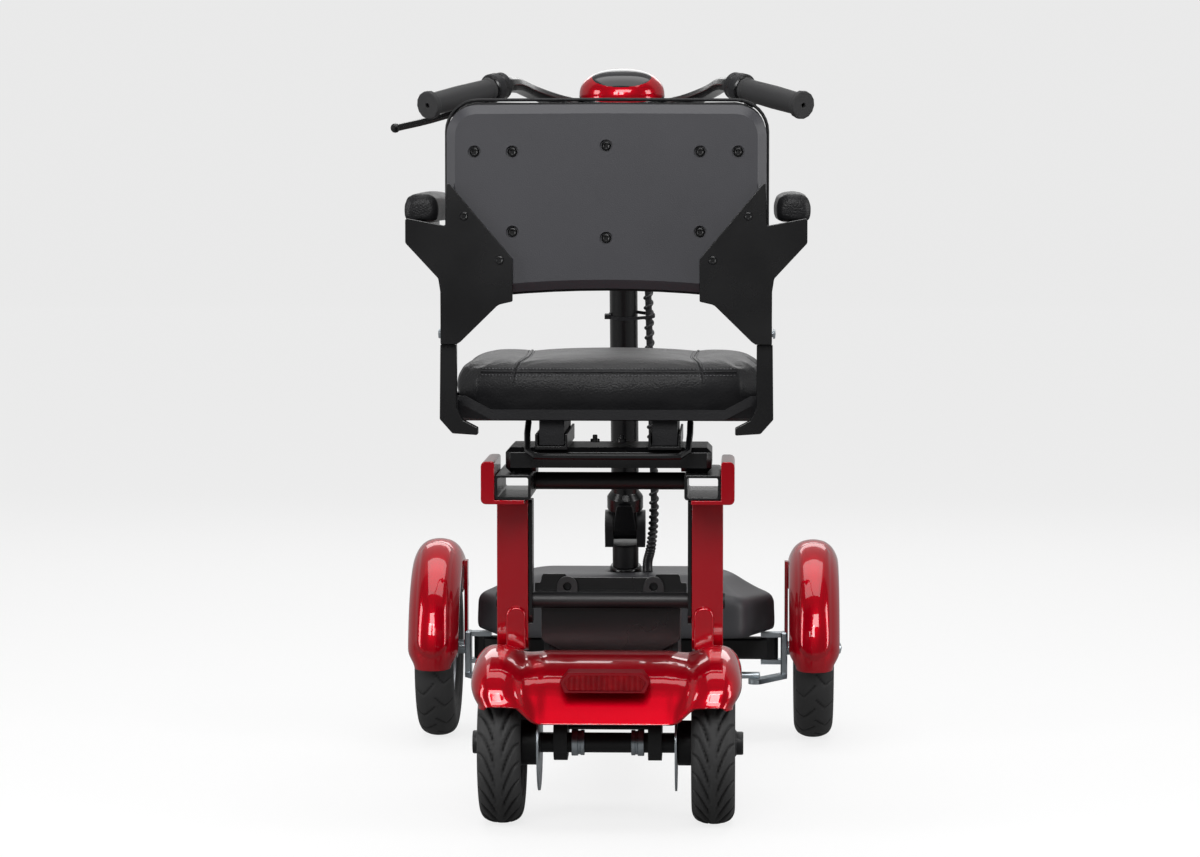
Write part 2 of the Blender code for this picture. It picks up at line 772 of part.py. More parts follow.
def battery_pack(holder):
    """The lift-out pack: a ribbed case with a recessed carrying handle on top."""
    rear = FOLD_Y + FOLD_TUBE_RADIUS + BRACKET_SHEET + 0.004
    front = rear + BATTERY_LENGTH
    rib = 0.0035
    case = block(
        (-BATTERY_HALF_WIDTH, rear, BEAM_TOP + SEAT_GAP),
        (BATTERY_HALF_WIDTH, front, BATTERY_TOP),
        0.007,
    )
    for i in range(BATTERY_RIBS):
        x = BATTERY_HALF_WIDTH * 1.7 * (i / (BATTERY_RIBS - 1) - 0.5)
        low, high = BEAM_TOP + 0.012, BATTERY_TOP - 0.012
        case = joined(case, block((x - rib, rear - 0.003, low), (x + rib, rear + 0.010, high)))
    middle = (rear + front) / 2
    well_low, well_high = BATTERY_TOP - 0.024, BATTERY_TOP + 0.010
    case = cut(case, block((-0.030, middle - 0.055, well_low), (0.030, middle + 0.055, well_high), 0.006))
    bar_low, bar_high = BATTERY_TOP - 0.009, BATTERY_TOP - 0.001
    handle = block((-0.011, middle - 0.060, bar_low), (0.011, middle + 0.060, bar_high), 0.003)
    return part(joined(case, handle), "battery_pack", SATIN, holder)


def front_axle_beam():
    """The cross beam with the kingpin bosses at its ends and the head tube in its middle."""
    half = AXLE_BEAM_HALF
    z = FRONT_RADIUS
    beam = block(
        (-KINGPIN_X, WHEELBASE - half, z - half), (KINGPIN_X, WHEELBASE + half, z + half), 0.003
    )
    crown = block((-0.036, WHEELBASE - half, z - half), (0.036, WHEELBASE + 0.036, z + half), 0.003)
    beam = joined(beam, crown, tiller_rod(HEAD_TUBE_FOOT, 0.0, HEAD_TUBE_RADIUS))
    for side in SIDES.values():
        x = side * KINGPIN_X
        beam = joined(beam, rod((x, WHEELBASE, z - BOSS_HALF), (x, WHEELBASE, z + BOSS_HALF), 0.013))
    beam = cut(beam, tiller_rod(-0.200, 0.050, STEM_RADIUS + RUNNING))
    for side in SIDES.values():
        x = side * KINGPIN_X
        hole = rod((x, WHEELBASE, z - 0.05), (x, WHEELBASE, z + 0.05), KINGPIN_RADIUS + RUNNING)
        beam = cut(beam, hole)
    return part(beam, "front_axle_beam", SATIN, DATUM)


def deck_ring(inset, z):
    """The deck's outline at one height: widest at the axle, tapered both ways to clear the wheels."""
    taper = math.tan(STEER_LIMIT)
    rear, front = DECK_REAR + inset, DECK_FRONT - inset
    side = DECK_HALF_WIDTH - inset
    half = rounded(
        [
            (0, rear, 0),
            (side - taper * (WHEELBASE - rear), rear, 0.022),
            (side, WHEELBASE, 0.030),
            (side - taper * (front - WHEELBASE), front, 0.034),
            (0, front, 0),
        ],
        2,
    )
    full = half + [(-x, y) for x, y in reversed(half[1:-1])]
    return [(x, y, z) for x, y in full]


def front_deck():
    """The moulded foot deck, hollow below, with a hole where the head tube comes through."""
    outer = loft(
        [
            deck_ring(0.003, DECK_BOTTOM),
            deck_ring(0.0, DECK_BOTTOM + 0.006),
            deck_ring(0.002, DECK_EDGE_TOP - 0.012),
            deck_ring(0.009, DECK_EDGE_TOP - 0.003),
            deck_ring(0.018, DECK_EDGE_TOP),
            deck_ring(0.060, DECK_TOP),
        ]
    )
    inner = loft(
        [
            deck_ring(DECK_WALL + 0.003, DECK_BOTTOM - 0.01),
            deck_ring(DECK_WALL + 0.002, DECK_EDGE_TOP - 0.014),
            deck_ring(DECK_WALL + 0.018, DECK_EDGE_TOP - DECK_WALL),
        ]
    )
    deck = cut(
        outer,
        inner,
        tiller_rod(-0.15, 0.15, HEAD_TUBE_RADIUS + SEAT_GAP),
        tiller_rod(-SEAT_GAP, 0.15, COLUMN_COLLAR_RADIUS + COLLAR_ROOM),
    )
    return part(deck, "front_deck", DECK_GREY, DATUM)


def column_collar():
    """The ring that closes the top of the head tube round the stem."""
    bore = STEM_RADIUS + RUNNING
    rim = COLUMN_COLLAR_RADIUS
    top = COLLAR_HEIGHT
    profile = [(bore, SEAT_GAP), (rim, SEAT_GAP), (rim, top - 0.0025), (rim - 0.002, top), (bore, top)]
    return part(turned(profile, TILLER_FOOT, TILLER_AXIS), "column_collar", BLACK, DATUM)


main_frame()
rear_axle_beam()
rear_cover()
tail_light_lens()
fold_pivot_tube()
pivot_bracket()
battery_pack(pivot("battery_lift", (0, FOLD_Y + 0.15, BEAM_TOP), DATUM))
front_axle_beam()
front_deck()
column_collar()


# Seat tower, which folds forwards about the pivot tube


def upright(side, name, holder):
    """A leg of the tower, rounded round the pivot tube at its foot."""
    low, high = sorted((side * UPRIGHT_INNER, side * UPRIGHT_OUTER))
    half = UPRIGHT_DEPTH / 2
    foot = FOLD_Z - UPRIGHT_DROP
    outline = rounded(
        [
            (FOLD_Y - half * 0.86, foot, 0.016),
            (FOLD_Y + half * 0.86, foot, 0.016),
            (FOLD_Y + half, FOLD_Z + 0.030, 0),
            (FOLD_Y + half, UPRIGHT_TOP, 0.004),
            (FOLD_Y - half, UPRIGHT_TOP, 0.004),
            (FOLD_Y - half, FOLD_Z + 0.030, 0),
        ]
    )
    bore = circle((FOLD_Y, FOLD_Z), FOLD_TUBE_RADIUS + RUNNING, 18)
    leg = bevelled(side_plate([outline, bore], low, high), 0.003, 1, math.radians(60))
    return part(leg, "upright_" + name, RED, holder)


def tower_plate(side, name, holder):
    """The black stiffening plate on the inner side of a leg."""
    inner = UPRIGHT_INNER - SEAT_GAP - TOWER_PLATE
    low, high = sorted((side * inner, side * (inner + TOWER_PLATE)))
    half = UPRIGHT_DEPTH / 2 - 0.004
    outline = rounded(
        [
            (FOLD_Y - half, FOLD_Z - 0.030, 0.014),
            (FOLD_Y + half, FOLD_Z - 0.030, 0.014),
            (FOLD_Y + half, UPRIGHT_TOP - 0.002, 0.004),
            (FOLD_Y - half, UPRIGHT_TOP - 0.002, 0.004),
        ],
        3,
    )
    bore = circle((FOLD_Y, FOLD_Z), FOLD_TUBE_RADIUS + RUNNING, 18)
    return part(side_plate([outline, bore], low, high), "tower_plate_" + name, BLACK, holder)


def top_block(side, name, holder):
    """The red angle on top of a leg: a floor under the rail and a cheek along its outer side."""
    floor_low = UPRIGHT_TOP + SEAT_GAP
    floor_high = RAIL_BOTTOM - SEAT_GAP
    cheek = RAIL_OUTER + SEAT_GAP
    outline = rounded(
        [
            (side * UPRIGHT_INNER, floor_low, 0),
            (side * BLOCK_OUTER, floor_low, 0.006),
            (side * BLOCK_OUTER, BLOCK_TOP, 0.006),
            (side * cheek, BLOCK_TOP, 0.003),
            (side * cheek, floor_high, 0),
            (side * UPRIGHT_INNER, floor_high, 0),
        ],
        3,
    )
    return part(upright_plate([outline], RAIL_REAR, BLOCK_FRONT), "top_block_" + name, RED, holder)


def top_rail(side, name, holder):
    """The open rectangular tube that runs fore and aft on the tower."""
    x = sorted((side * RAIL_INNER, side * RAIL_OUTER))
    low, high = RAIL_BOTTOM, RAIL_BOTTOM + RAIL_HEIGHT
    corners = [(x[0], low), (x[1], low), (x[1], high), (x[0], high)]
    outer = rounded([(*corner, 0.004) for corner in corners], 3)
    wall = RAIL_WALL
    middle = Vector(((x[0] + x[1]) / 2, (low + high) / 2))
    shrink = Vector((1 - 2 * wall / RAIL_WIDTH, 1 - 2 * wall / RAIL_HEIGHT))
    inner = rounded([(*(middle + (Vector(c) - middle) * shrink), 0.002) for c in corners], 2)
    return part(upright_plate([outer, inner], RAIL_REAR, RAIL_FRONT), "top_rail_" + name, BLACK, holder)


def tower_cross_tube(holder):
    """The round tube between the two rails."""
    reach = RAIL_INNER - SEAT_GAP
    z = RAIL_BOTTOM + RAIL_HEIGHT / 2
    tube = rod((-reach, FOLD_Y, z), (reach, FOLD_Y, z), CROSS_TUBE_RADIUS, 16)
    return part(tube, "tower_cross_tube", SATIN, holder)


def seat_base_bracket(holder):
    """The pressed base on the rails, open below, with the two fixed slide channels on top."""
    low, wall = BASE_BOTTOM, BASE_WALL
    front = BASE_REAR + BASE_DEPTH
    base = block((-BASE_HALF_WIDTH, BASE_REAR, low), (BASE_HALF_WIDTH, front, BASE_TOP), 0.006)
    inner = BASE_HALF_WIDTH - wall
    hollow = block((-inner, BASE_REAR + wall, low - 0.02), (inner, front - wall, BASE_TOP - wall), 0.004)
    notch_half, notch_front = RAIL_INNER - 0.0045, BASE_REAR + wall + 0.01
    notch = block((-notch_half, BASE_REAR - 0.02, low - 0.02), (notch_half, notch_front, low + 0.006))
    base = cut(base, hollow, notch)
    for side in SIDES.values():
        x = side * SLIDE_X
        half, top, sheet_wall = SLIDE_HALF, SLIDE_TOP, SLIDE_WALL
        outline = [
            (x - half, BASE_TOP - 0.001),
            (x + half, BASE_TOP - 0.001),
            (x + half, top),
            (x + half - sheet_wall, top),
            (x + half - sheet_wall, BASE_TOP + sheet_wall),
            (x - half + sheet_wall, BASE_TOP + sheet_wall),
            (x - half + sheet_wall, top),
            (x - half, top),
        ]
        base = joined(base, upright_plate([outline], -0.008, 0.200))
    return part(base, "seat_base_bracket", BLACK, holder)


# Seat, which slides back on the tower


def pan_block(grow, low, high, edge):
    half = PAN_HALF_WIDTH + grow
    return block((-half, PAN_REAR - grow, low), (half, PAN_FRONT + grow, high), edge, 2)


def seat_pan(holder):
    """The seat tray with its upturned rim, slide runners below and the arms of the back hinge."""
    wall = PAN_WALL
    pan = pan_block(0, PAN_BOTTOM, PAN_BOTTOM + PAN_RIM + 0.02, 0.014)
    pan = cut(pan, pan_block(-wall, PAN_BOTTOM + wall, PAN_BOTTOM + 0.1, 0.012))
    pan = cut(pan, pan_block(0.1, PAN_BOTTOM + PAN_RIM, PAN_BOTTOM + 0.2, 0))
    runner_half = SLIDE_HALF - SLIDE_WALL - 0.0015
    for side in SIDES.values():
        x = side * SLIDE_X
        runner = block(
            (x - runner_half, 0.006, BASE_TOP + SLIDE_WALL + RUNNING),
            (x + runner_half, 0.194, PAN_BOTTOM + 0.001),
        )
        pan = joined(pan, runner)
        low, high = sorted((side * HINGE_ARM_INNER, side * HINGE_ARM_OUTER))
        arm = [
            *arc((HINGE_Y, HINGE_Z), HINGE_RADIUS, -10, 190, 10),
            (HINGE_Y - HINGE_RADIUS, PAN_BOTTOM + 0.045),
            (HINGE_Y - HINGE_RADIUS + 0.004, PAN_BOTTOM - 0.002),
            (0.030, PAN_BOTTOM - 0.002),
            (0.030, PAN_BOTTOM + 0.018),
            (HINGE_Y + HINGE_RADIUS + 0.012, PAN_BOTTOM + 0.022),
            (HINGE_Y + HINGE_RADIUS, PAN_BOTTOM + 0.045),
        ]
        pan = joined(pan, side_plate([arm, circle((HINGE_Y, HINGE_Z), HINGE_PIN, 12)], low, high))
    return part(pan, "seat_pan", BLACK, holder)


def cushion_ring(z, inset, swell):
    """One level of the seat cushion: its sides draw in between the corners by swell."""
    half, rear, front = PAN_HALF_WIDTH - inset, CUSHION_REAR + inset, PAN_FRONT - inset
    middle = (rear + front) / 2
    length = (front - rear) / 2
    points = []
    for i in range(CUSHION_SIDES):
        turn = 2 * math.pi * (i + 0.5) / CUSHION_SIDES
        c, s = math.cos(turn), math.sin(turn)
        reach = (abs(c) ** 6 + abs(s) ** 6) ** (-1 / 6)
        draw = swell * (1 - abs(2 * c * s)) if abs(2 * c * s) < 1 else 0
        points.append(((half - draw) * reach * c, middle + (length - draw) * reach * s, z))
    return points


def seat_cushion(holder):
    """The padded cushion, crowned on top and drawn in along its sides."""
    low = PAN_BOTTOM + PAN_WALL + SEAT_GAP
    rim = PAN_BOTTOM + PAN_RIM
    top = CUSHION_TOP
    levels = [
        (low, 0.014, 0.001),
        (low + 0.006, 0.0062, 0.001),
        (rim - 0.002, 0.0040, 0.001),
        (rim + 0.008, 0.0010, 0.002),
        (rim + 0.018, 0.0020, 0.003),
        (top - 0.008, 0.0080, 0.003),
        (top - 0.003, 0.0200, 0.003),
        (top - 0.0008, 0.0500, 0.0),
        (top, 0.1000, 0.0),
    ]
    return part(loft([cushion_ring(*level) for level in levels]), "seat_cushion", LEATHER, holder)


def slide_release_bar(holder):
    """The bent wire handle under the rear of the seat that frees the slides."""
    half = [
        Vector((RELEASE_X, RELEASE_Y, RELEASE_Z)),
        Vector((RELEASE_X, RELEASE_Y - 0.030, RELEASE_Z - 0.0122)),
        Vector((RELEASE_X - 0.002, RELEASE_Y - 0.062, RELEASE_Z - 0.0317)),
        Vector((RELEASE_X - 0.012, RELEASE_Y - 0.074, RELEASE_Z - 0.0377)),
        Vector((RELEASE_X - 0.030, RELEASE_Y - 0.076, RELEASE_Z - 0.0379)),
    ]
    path = half + [Vector((-p.x, p.y, p.z)) for p in reversed(half)]
    return part(swept(path, RELEASE_RADIUS, 2), "slide_release_bar", ZINC, holder)


# Backrest, which folds down onto the cushion


def back_ring(y, inset, arch, top_grow=0.0):
    """A section of the backrest at one depth: round corners and an arched lower edge."""
    half = BACK_HALF_WIDTH - inset
    low, high = BACK_BOTTOM + inset, BACK_TOP - inset + top_grow
    corner = max(BACK_CORNER - inset, 0.008)
    outline = rounded(
        [
            (-half, low, corner),
            (-half * 0.45, low + arch * 0.75, 0),
            (0, low + arch, 0),
            (half * 0.45, low + arch * 0.75, 0),
            (half, low, corner),
            (half, high, corner),
            (0, high + 0.001, 0),
            (-half, high, corner),
        ],
        4,
    )
    return [(x, y, z) for x, z in outline]


def backrest_shell(holder):
    """The moulded rear shell with its bevelled rim, hollow at the front where the pad fits."""
    rear, front = BACK_REAR, BACK_REAR + SHELL_DEPTH
    shell = loft(
        [
            back_ring(rear, 0.011, BACK_ARCH),
            back_ring(rear + 0.005, 0.0015, BACK_ARCH),
            back_ring(rear + 0.009, 0.0, BACK_ARCH),
            back_ring(front, 0.0, BACK_ARCH),
        ]
    )
    hollow = loft(
        [back_ring(rear + 0.009, SHELL_WALL, BACK_ARCH), back_ring(front + 0.02, SHELL_WALL, BACK_ARCH)]
    )
    return part(cut(shell, hollow), "backrest_shell", SHELL_GREY, holder)


def backrest_pad(holder):
    """The padded front of the backrest, crowned forwards."""
    rear, front = BACK_REAR + 0.009 + SEAT_GAP, BACK_FRONT
    lip = BACK_REAR + SHELL_DEPTH
    fit = SHELL_WALL + SEAT_GAP
    pad = loft(
        [
            back_ring(rear, fit, BACK_ARCH),
            back_ring(lip + 0.001, fit, BACK_ARCH),
            back_ring(lip + 0.003, 0.0005, BACK_ARCH, 0.004),
            back_ring(front - 0.016, -0.001, BACK_ARCH, 0.005),
            back_ring(front - 0.006, 0.008, BACK_ARCH, 0.004),
            back_ring(front - 0.002, 0.024, BACK_ARCH),
            back_ring(front, 0.056, BACK_ARCH * 0.3),
        ]
    )
    return part(pad, "backrest_pad", LEATHER, holder)


def back_bracket(side, name, holder):
    """The pressed bracket behind one side of the back: its hinge lug below and the armrest gusset outside."""
    rear = BACK_REAR - SEAT_GAP - BRACKET_THICK
    foot = HINGE_Z - HINGE_RADIUS - 0.001
    corners = [
        (BRACKET_INNER, BACK_BOTTOM + 0.039, 0.010),
        (BRACKET_INNER, BACK_BOTTOM - 0.005, 0.012),
        (HINGE_ARM_INNER - 0.005, HINGE_Z - 0.004, 0.010),
        (HINGE_ARM_OUTER + 0.001, foot, 0),
        (HINGE_LUG_OUTER, foot, 0),
        (HINGE_LUG_OUTER, BACK_BOTTOM + 0.007, 0.006),
        (HINGE_LUG_OUTER + 0.0025, BACK_BOTTOM + 0.023, 0.006),
        (GUSSET_OUTER, ARM_PIVOT_Z - 0.014, 0.005),
        (GUSSET_OUTER, ARM_PIVOT_Z + 0.011, 0.003),
        (BACK_HALF_WIDTH, ARM_PIVOT_Z + 0.007, 0.004),
        (BACK_HALF_WIDTH - 0.002, BACK_TOP - 0.091, 0.003),
    ]
    outline = rounded([(side * x, z, r) for x, z, r in corners], 3)
    bracket = upright_plate([outline], rear, rear + BRACKET_THICK)
    hinge_x = sorted((side * (HINGE_ARM_OUTER + RUNNING), side * HINGE_LUG_OUTER))
    hinge = [
        *arc((HINGE_Y, HINGE_Z), HINGE_RADIUS, -90, 90, 8),
        (rear + 0.001, HINGE_Z + 0.030),
        (rear + 0.001, HINGE_Z - HINGE_RADIUS),
    ]
    arm_x = sorted((side * (GUSSET_OUTER - GUSSET_THICK), side * GUSSET_OUTER))
    pivot_lug = [
        *arc((ARM_PIVOT_Y, ARM_PIVOT_Z), ARM_LUG, -90, 90, 8),
        (rear + 0.001, ARM_PIVOT_Z + ARM_LUG),
        (rear + 0.001, ARM_PIVOT_Z - ARM_LUG),
    ]
    bracket = joined(bracket, side_plate([hinge], *hinge_x), side_plate([pivot_lug], *arm_x))
    pin = rod(
        (side * (HINGE_ARM_INNER - 0.002), HINGE_Y, HINGE_Z),
        (side * (HINGE_LUG_OUTER - 0.001), HINGE_Y, HINGE_Z),
        HINGE_PIN - RUNNING,
        10,
    )
    return part(joined(bracket, pin), "back_bracket_" + name, BLACK, holder)


def armrest_beam(side, name, holder):
    """The steel bar of an armrest, with the eye that it swings on at its rear end."""
    x = sorted((side * ARM_BAR_INNER, side * ARM_BAR_OUTER))
    top = ARM_PAD_LOW - SEAT_GAP
    outline = [
        *arc((ARM_PIVOT_Y, ARM_PIVOT_Z), ARM_LUG, 90, 270, 8),
        (ARM_PIVOT_Y + 0.030, ARM_PIVOT_Z - ARM_LUG + 0.001),
        (ARM_FRONT - 0.040, top - 0.010),
        (ARM_FRONT - 0.030, top - 0.006),
        (ARM_FRONT - 0.030, top),
        (ARM_PIVOT_Y + 0.004, top),
    ]
    return part(side_plate([outline], *x), "armrest_beam_" + name, BLACK, holder)


def armrest_pad(side, name, holder):
    """The padded rest, rounded all along and a little wider at the front."""
    rear, front = ARM_PIVOT_Y + 0.016, ARM_FRONT
    middle = (ARM_INNER + ARM_OUTER) / 2
    low, high = ARM_PAD_LOW, ARM_TOP
    stations = [
        (rear, 0.006),
        (rear + 0.006, 0.001),
        ((rear + front) / 2, 0.0008),
        (front - 0.012, 0.0),
        (front, 0.005),
    ]
    rings = []
    for y, shrink in stations:
        half = (ARM_OUTER - ARM_INNER) / 2 - shrink
        corners = [
            (middle - half, low + shrink / 2, 0.006),
            (middle + half, low + shrink / 2, 0.006),
            (middle + half, high - shrink, 0.010),
            (middle - half, high - shrink, 0.010),
        ]
        rings.append([(side * x, y, z) for x, z in rounded(corners, 2)])
    return part(loft(rings), "armrest_pad_" + name, LEATHER, holder)


TOWER = pivot("tower_fold", (0, FOLD_Y, FOLD_Z), DATUM)
SEAT = pivot("seat_slide", (0, 0.1, PAN_BOTTOM), TOWER)
RELEASE = pivot("release_lift", (0, RELEASE_Y, RELEASE_Z), SEAT)
BACK = pivot("backrest_fold", (0, HINGE_Y, HINGE_Z), SEAT)

tower_cross_tube(TOWER)
seat_base_bracket(TOWER)
seat_pan(SEAT)
seat_cushion(SEAT)
slide_release_bar(RELEASE)
backrest_shell(BACK)
backrest_pad(BACK)
for label, hand in SIDES.items():
    upright(hand, label, TOWER)
    tower_plate(hand, label, TOWER)
    top_block(hand, label, TOWER)
    top_rail(hand, label, TOWER)
    back_bracket(hand, label, BACK)
    armrest = pivot("armrest_lift_" + label, (hand * ARM_BAR_OUTER, ARM_PIVOT_Y, ARM_PIVOT_Z), BACK)
    armrest_beam(hand, label, armrest)
    armrest_pad(hand, label, armrest)


# Steering and tiller


def steering_stem(holder):
    """The turning stem: a shaft in the head tube, a drop arm below and the fork of the fold joint above."""
    neck = STEM_NECK
    collar_top = COLLAR_HEIGHT + RUNNING
    lean = math.degrees(TILLER_LEAN)
    lobe_foot = FOLD_AT - FOLD_LOBE - 0.005
    stem = turned(
        [
            (0, STEM_FOOT),
            (STEM_RADIUS, STEM_FOOT),
            (STEM_RADIUS, collar_top),
            (neck, collar_top),
            (neck, FOLD_AT - FOLD_LOBE - 0.006),
            (neck + 0.003, FOLD_AT - FOLD_LOBE - 0.002),
            (0, FOLD_AT - FOLD_LOBE - 0.002),
        ],
        TILLER_FOOT,
        TILLER_AXIS,
        18,
        closed=False,
    )
    joint = along(FOLD_AT)
    for side in SIDES.values():
        x = sorted((side * LUG_HALF, side * FORK_HALF))
        lobe = [
            *arc((joint.y, joint.z), FOLD_LOBE, lean, 180 + lean, 10),
            tuple(along(lobe_foot, back=FOLD_LOBE * 0.8).yz),
            tuple(along(lobe_foot, back=-FOLD_LOBE * 0.8).yz),
        ]
        stem = joined(stem, side_plate([lobe, circle((joint.y, joint.z), FOLD_PIN + RUNNING, 12)], *x))
    foot = along(STEM_FOOT)
    drop = [
        (-0.013, foot.y + 0.012),
        (-0.008, TIE_ROD_Y),
        (0.008, TIE_ROD_Y),
        (0.013, foot.y + 0.012),
    ]
    stem = joined(stem, flat_plate([drop], DROP_ARM_LOW, DROP_ARM_LOW + DROP_ARM_THICK))
    return part(stem, "steering_stem", SATIN, holder)


def tiller_lower_tube(holder):
    """The outer tiller tube: a lug and pin in the fork below, open above for the inner tube."""
    joint = along(FOLD_AT)
    start = FOLD_AT + FOLD_LOBE + 0.004
    bore = LOWER_TUBE_RADIUS - LOWER_TUBE_WALL
    lean = math.degrees(TILLER_LEAN)
    shoulder = LOWER_TUBE_RADIUS + LOWER_TUBE_SHOULDER
    lug = [
        *arc((joint.y, joint.z), FOLD_LOBE - 0.002, 180 + lean, 360 + lean, 10),
        tuple(along(start + 0.006, back=-0.016).yz),
        tuple(along(start + 0.006, back=0.016).yz),
    ]
    tube = turned(
        [
            (0, start),
            (shoulder, start),
            (shoulder, start + 0.018),
            (LOWER_TUBE_RADIUS, start + 0.026),
            (LOWER_TUBE_RADIUS, LOWER_TUBE_END - 0.030),
            (LOWER_TUBE_RADIUS + 0.003, LOWER_TUBE_END - 0.028),
            (LOWER_TUBE_RADIUS + 0.003, LOWER_TUBE_END),
            (bore, LOWER_TUBE_END),
            (bore, start + 0.030),
            (0, start + 0.030),
        ],
        TILLER_FOOT,
        TILLER_AXIS,
        18,
        closed=False,
    )
    gap = LUG_HALF - RUNNING
    tube = joined(tube, side_plate([lug], -gap, gap))
    reach = FORK_HALF - 0.001
    pin = rod((-reach, joint.y, joint.z), (reach, joint.y, joint.z), FOLD_PIN, 12)
    return part(joined(tube, pin), "tiller_lower_tube", BLACK, holder)


def fold_latch_lever(holder):
    """The wedge-shaped latch behind the fold joint."""
    wide, narrow = 0.017, 0.011
    low, high = FOLD_AT + 0.002, LATCH_AT
    corners = [(-wide, low), (wide, low), (narrow, high), (-narrow, high)]
    outline = rounded([(x, z, 0.003) for x, z in corners], 2)
    middle = along(0, back=LATCH_BACK + LATCH_THICK / 2)
    place = Matrix.Translation(middle) @ Matrix.Rotation(TILLER_LEAN, 4, "X") @ FACING_Y
    return part(plate([outline], LATCH_THICK, place), "fold_latch_lever", BLACK, holder)


def tiller_upper_tube(holder):
    """The inner tube with the head that clamps the handlebar."""
    wall, radius = UPPER_TUBE_WALL, UPPER_TUBE_RADIUS
    top = HEAD_AT - BAR_RADIUS
    tube = turned(
        [
            (0, top - 0.010),
            (radius - wall, top - 0.010),
            (radius - wall, UPPER_TUBE_START),
            (radius, UPPER_TUBE_START),
            (radius, top),
            (0, top),
        ],
        TILLER_FOOT,
        TILLER_AXIS,
        18,
        closed=False,
    )
    head = block((-0.026, -0.022, -0.020), (0.026, 0.022, HEAD_HALF), 0.006)
    head.data.transform(Matrix.Translation(along(HEAD_AT)) @ Matrix.Rotation(TILLER_LEAN, 4, "X"))
    centre = along(HEAD_AT)
    bore = rod(centre - X_AXIS * 0.1, centre + X_AXIS * 0.1, BAR_RADIUS + SEAT_GAP, 16)
    return part(cut(joined(tube, head), bore), "tiller_upper_tube", BLACK, holder)


def bar_points():
    """The handlebar's right half, from the middle of the head to the end inside the grip."""
    centre = along(HEAD_AT)
    return [
        centre,
        centre + Vector((0.035, 0, 0)),
        centre + Vector((0.082, -0.006, 0.008)),
        centre + Vector((0.120, -0.0671, 0.0209)),
        centre + Vector((0.137, -0.1321, 0.0289)),
        GRIP_START - GRIP_LINE * (CLAMP_LENGTH + 0.010),
    ]


def handlebar(holder):
    """The bent tube that reaches back to both grips."""
    half = smooth_path(bar_points(), 3)
    half = [half[0], *half[3:]] + [GRIP_START + GRIP_LINE * (GRIP_LENGTH - 0.006)]
    path = [Vector((-p.x, p.y, p.z)) for p in reversed(half[1:])] + half
    return part(swept(path, BAR_RADIUS - SEAT_GAP, 2), "handlebar", BLACK, holder)


def grip_frame(side):
    start = Vector((side * GRIP_START.x, GRIP_START.y, GRIP_START.z))
    line = Vector((side * GRIP_LINE.x, GRIP_LINE.y, GRIP_LINE.z))
    return start, line


def grip(side, name, holder):
    """A rubber sleeve with an end flange and a small hole in its end."""
    start, line = grip_frame(side)
    bore = BAR_RADIUS + SEAT_GAP
    end = GRIP_LENGTH
    profile = [
        (bore, 0.001),
        (GRIP_RADIUS + 0.0015, 0.001),
        (GRIP_RADIUS + 0.0015, 0.006),
        (GRIP_RADIUS, 0.008),
        (GRIP_RADIUS + 0.0008, end * 0.5),
        (GRIP_RADIUS, end - 0.010),
        (GRIP_FLANGE, end - 0.008),
        (GRIP_FLANGE, end - 0.001),
        (GRIP_FLANGE - 0.002, end),
        (0.003, end),
        (0.003, end - 0.004),
        (bore, end - 0.004),
    ]
    return part(turned(profile, start, line, 14), "grip_" + name, SATIN, holder)


def control_clamp(side, name, holder):
    """The ring inboard of a grip that carries the brake lever or the throttle."""
    start, line = grip_frame(side)
    bore = BAR_RADIUS + SEAT_GAP
    rim, back, edge = CLAMP_RADIUS, -CLAMP_LENGTH, 0.002
    profile = [
        (bore, back),
        (rim - edge, back),
        (rim, back + edge),
        (rim, -edge),
        (rim - edge, 0.0),
        (bore, 0.0),
    ]
    ring = turned(profile, start, line, 16)
    out = lever_out(side)
    root = start - line * CLAMP_MIDDLE
    lug = rod(root + out * 0.013, root + out * LEVER_LUG_END, LEVER_LUG_RADIUS, 10)
    return part(joined(ring, lug), name, BLACK, holder)


def lever_out(side):
    """The way from a grip to its lever: forwards and down, square to the grip."""
    line = grip_frame(side)[1]
    way = Vector((side * 0.30, 0.62, -0.55))
    return (way - line * way.dot(line)).normalized()


def lever_root():
    """Where the lever meets the side of its lug."""
    start, line = grip_frame(-1)
    reach = LEVER_LUG_RADIUS + 2 * SEAT_GAP - CLAMP_MIDDLE
    return start + line * reach + lever_out(-1) * (LEVER_LUG_END - LEVER_RADIUS - 0.0005)


def lever_hinge():
    """The lever turns about the edge of its foot that lies nearest the grip."""
    return lever_root() - lever_out(-1) * LEVER_RADIUS


def brake_lever_path():
    line, out = grip_frame(-1)[1], lever_out(-1)
    root = lever_root()
    bend = root + line * 0.030 + out * 0.005
    return [root, root + line * 0.008, bend, bend.lerp(BALL_CENTRE, 0.5) + out * 0.003, BALL_CENTRE]


def brake_lever(holder):
    """A slim cast lever with a ball end."""
    path = smooth_path(brake_lever_path(), 3)
    blade = swept(path, LEVER_RADIUS, 1)
    ball = bmesh.new()
    place = Matrix.Translation(BALL_CENTRE)
    bmesh.ops.create_uvsphere(ball, u_segments=10, v_segments=6, radius=BALL_RADIUS, matrix=place)
    return part(joined(blade, from_bmesh(ball)), "brake_lever", BLACK, holder)


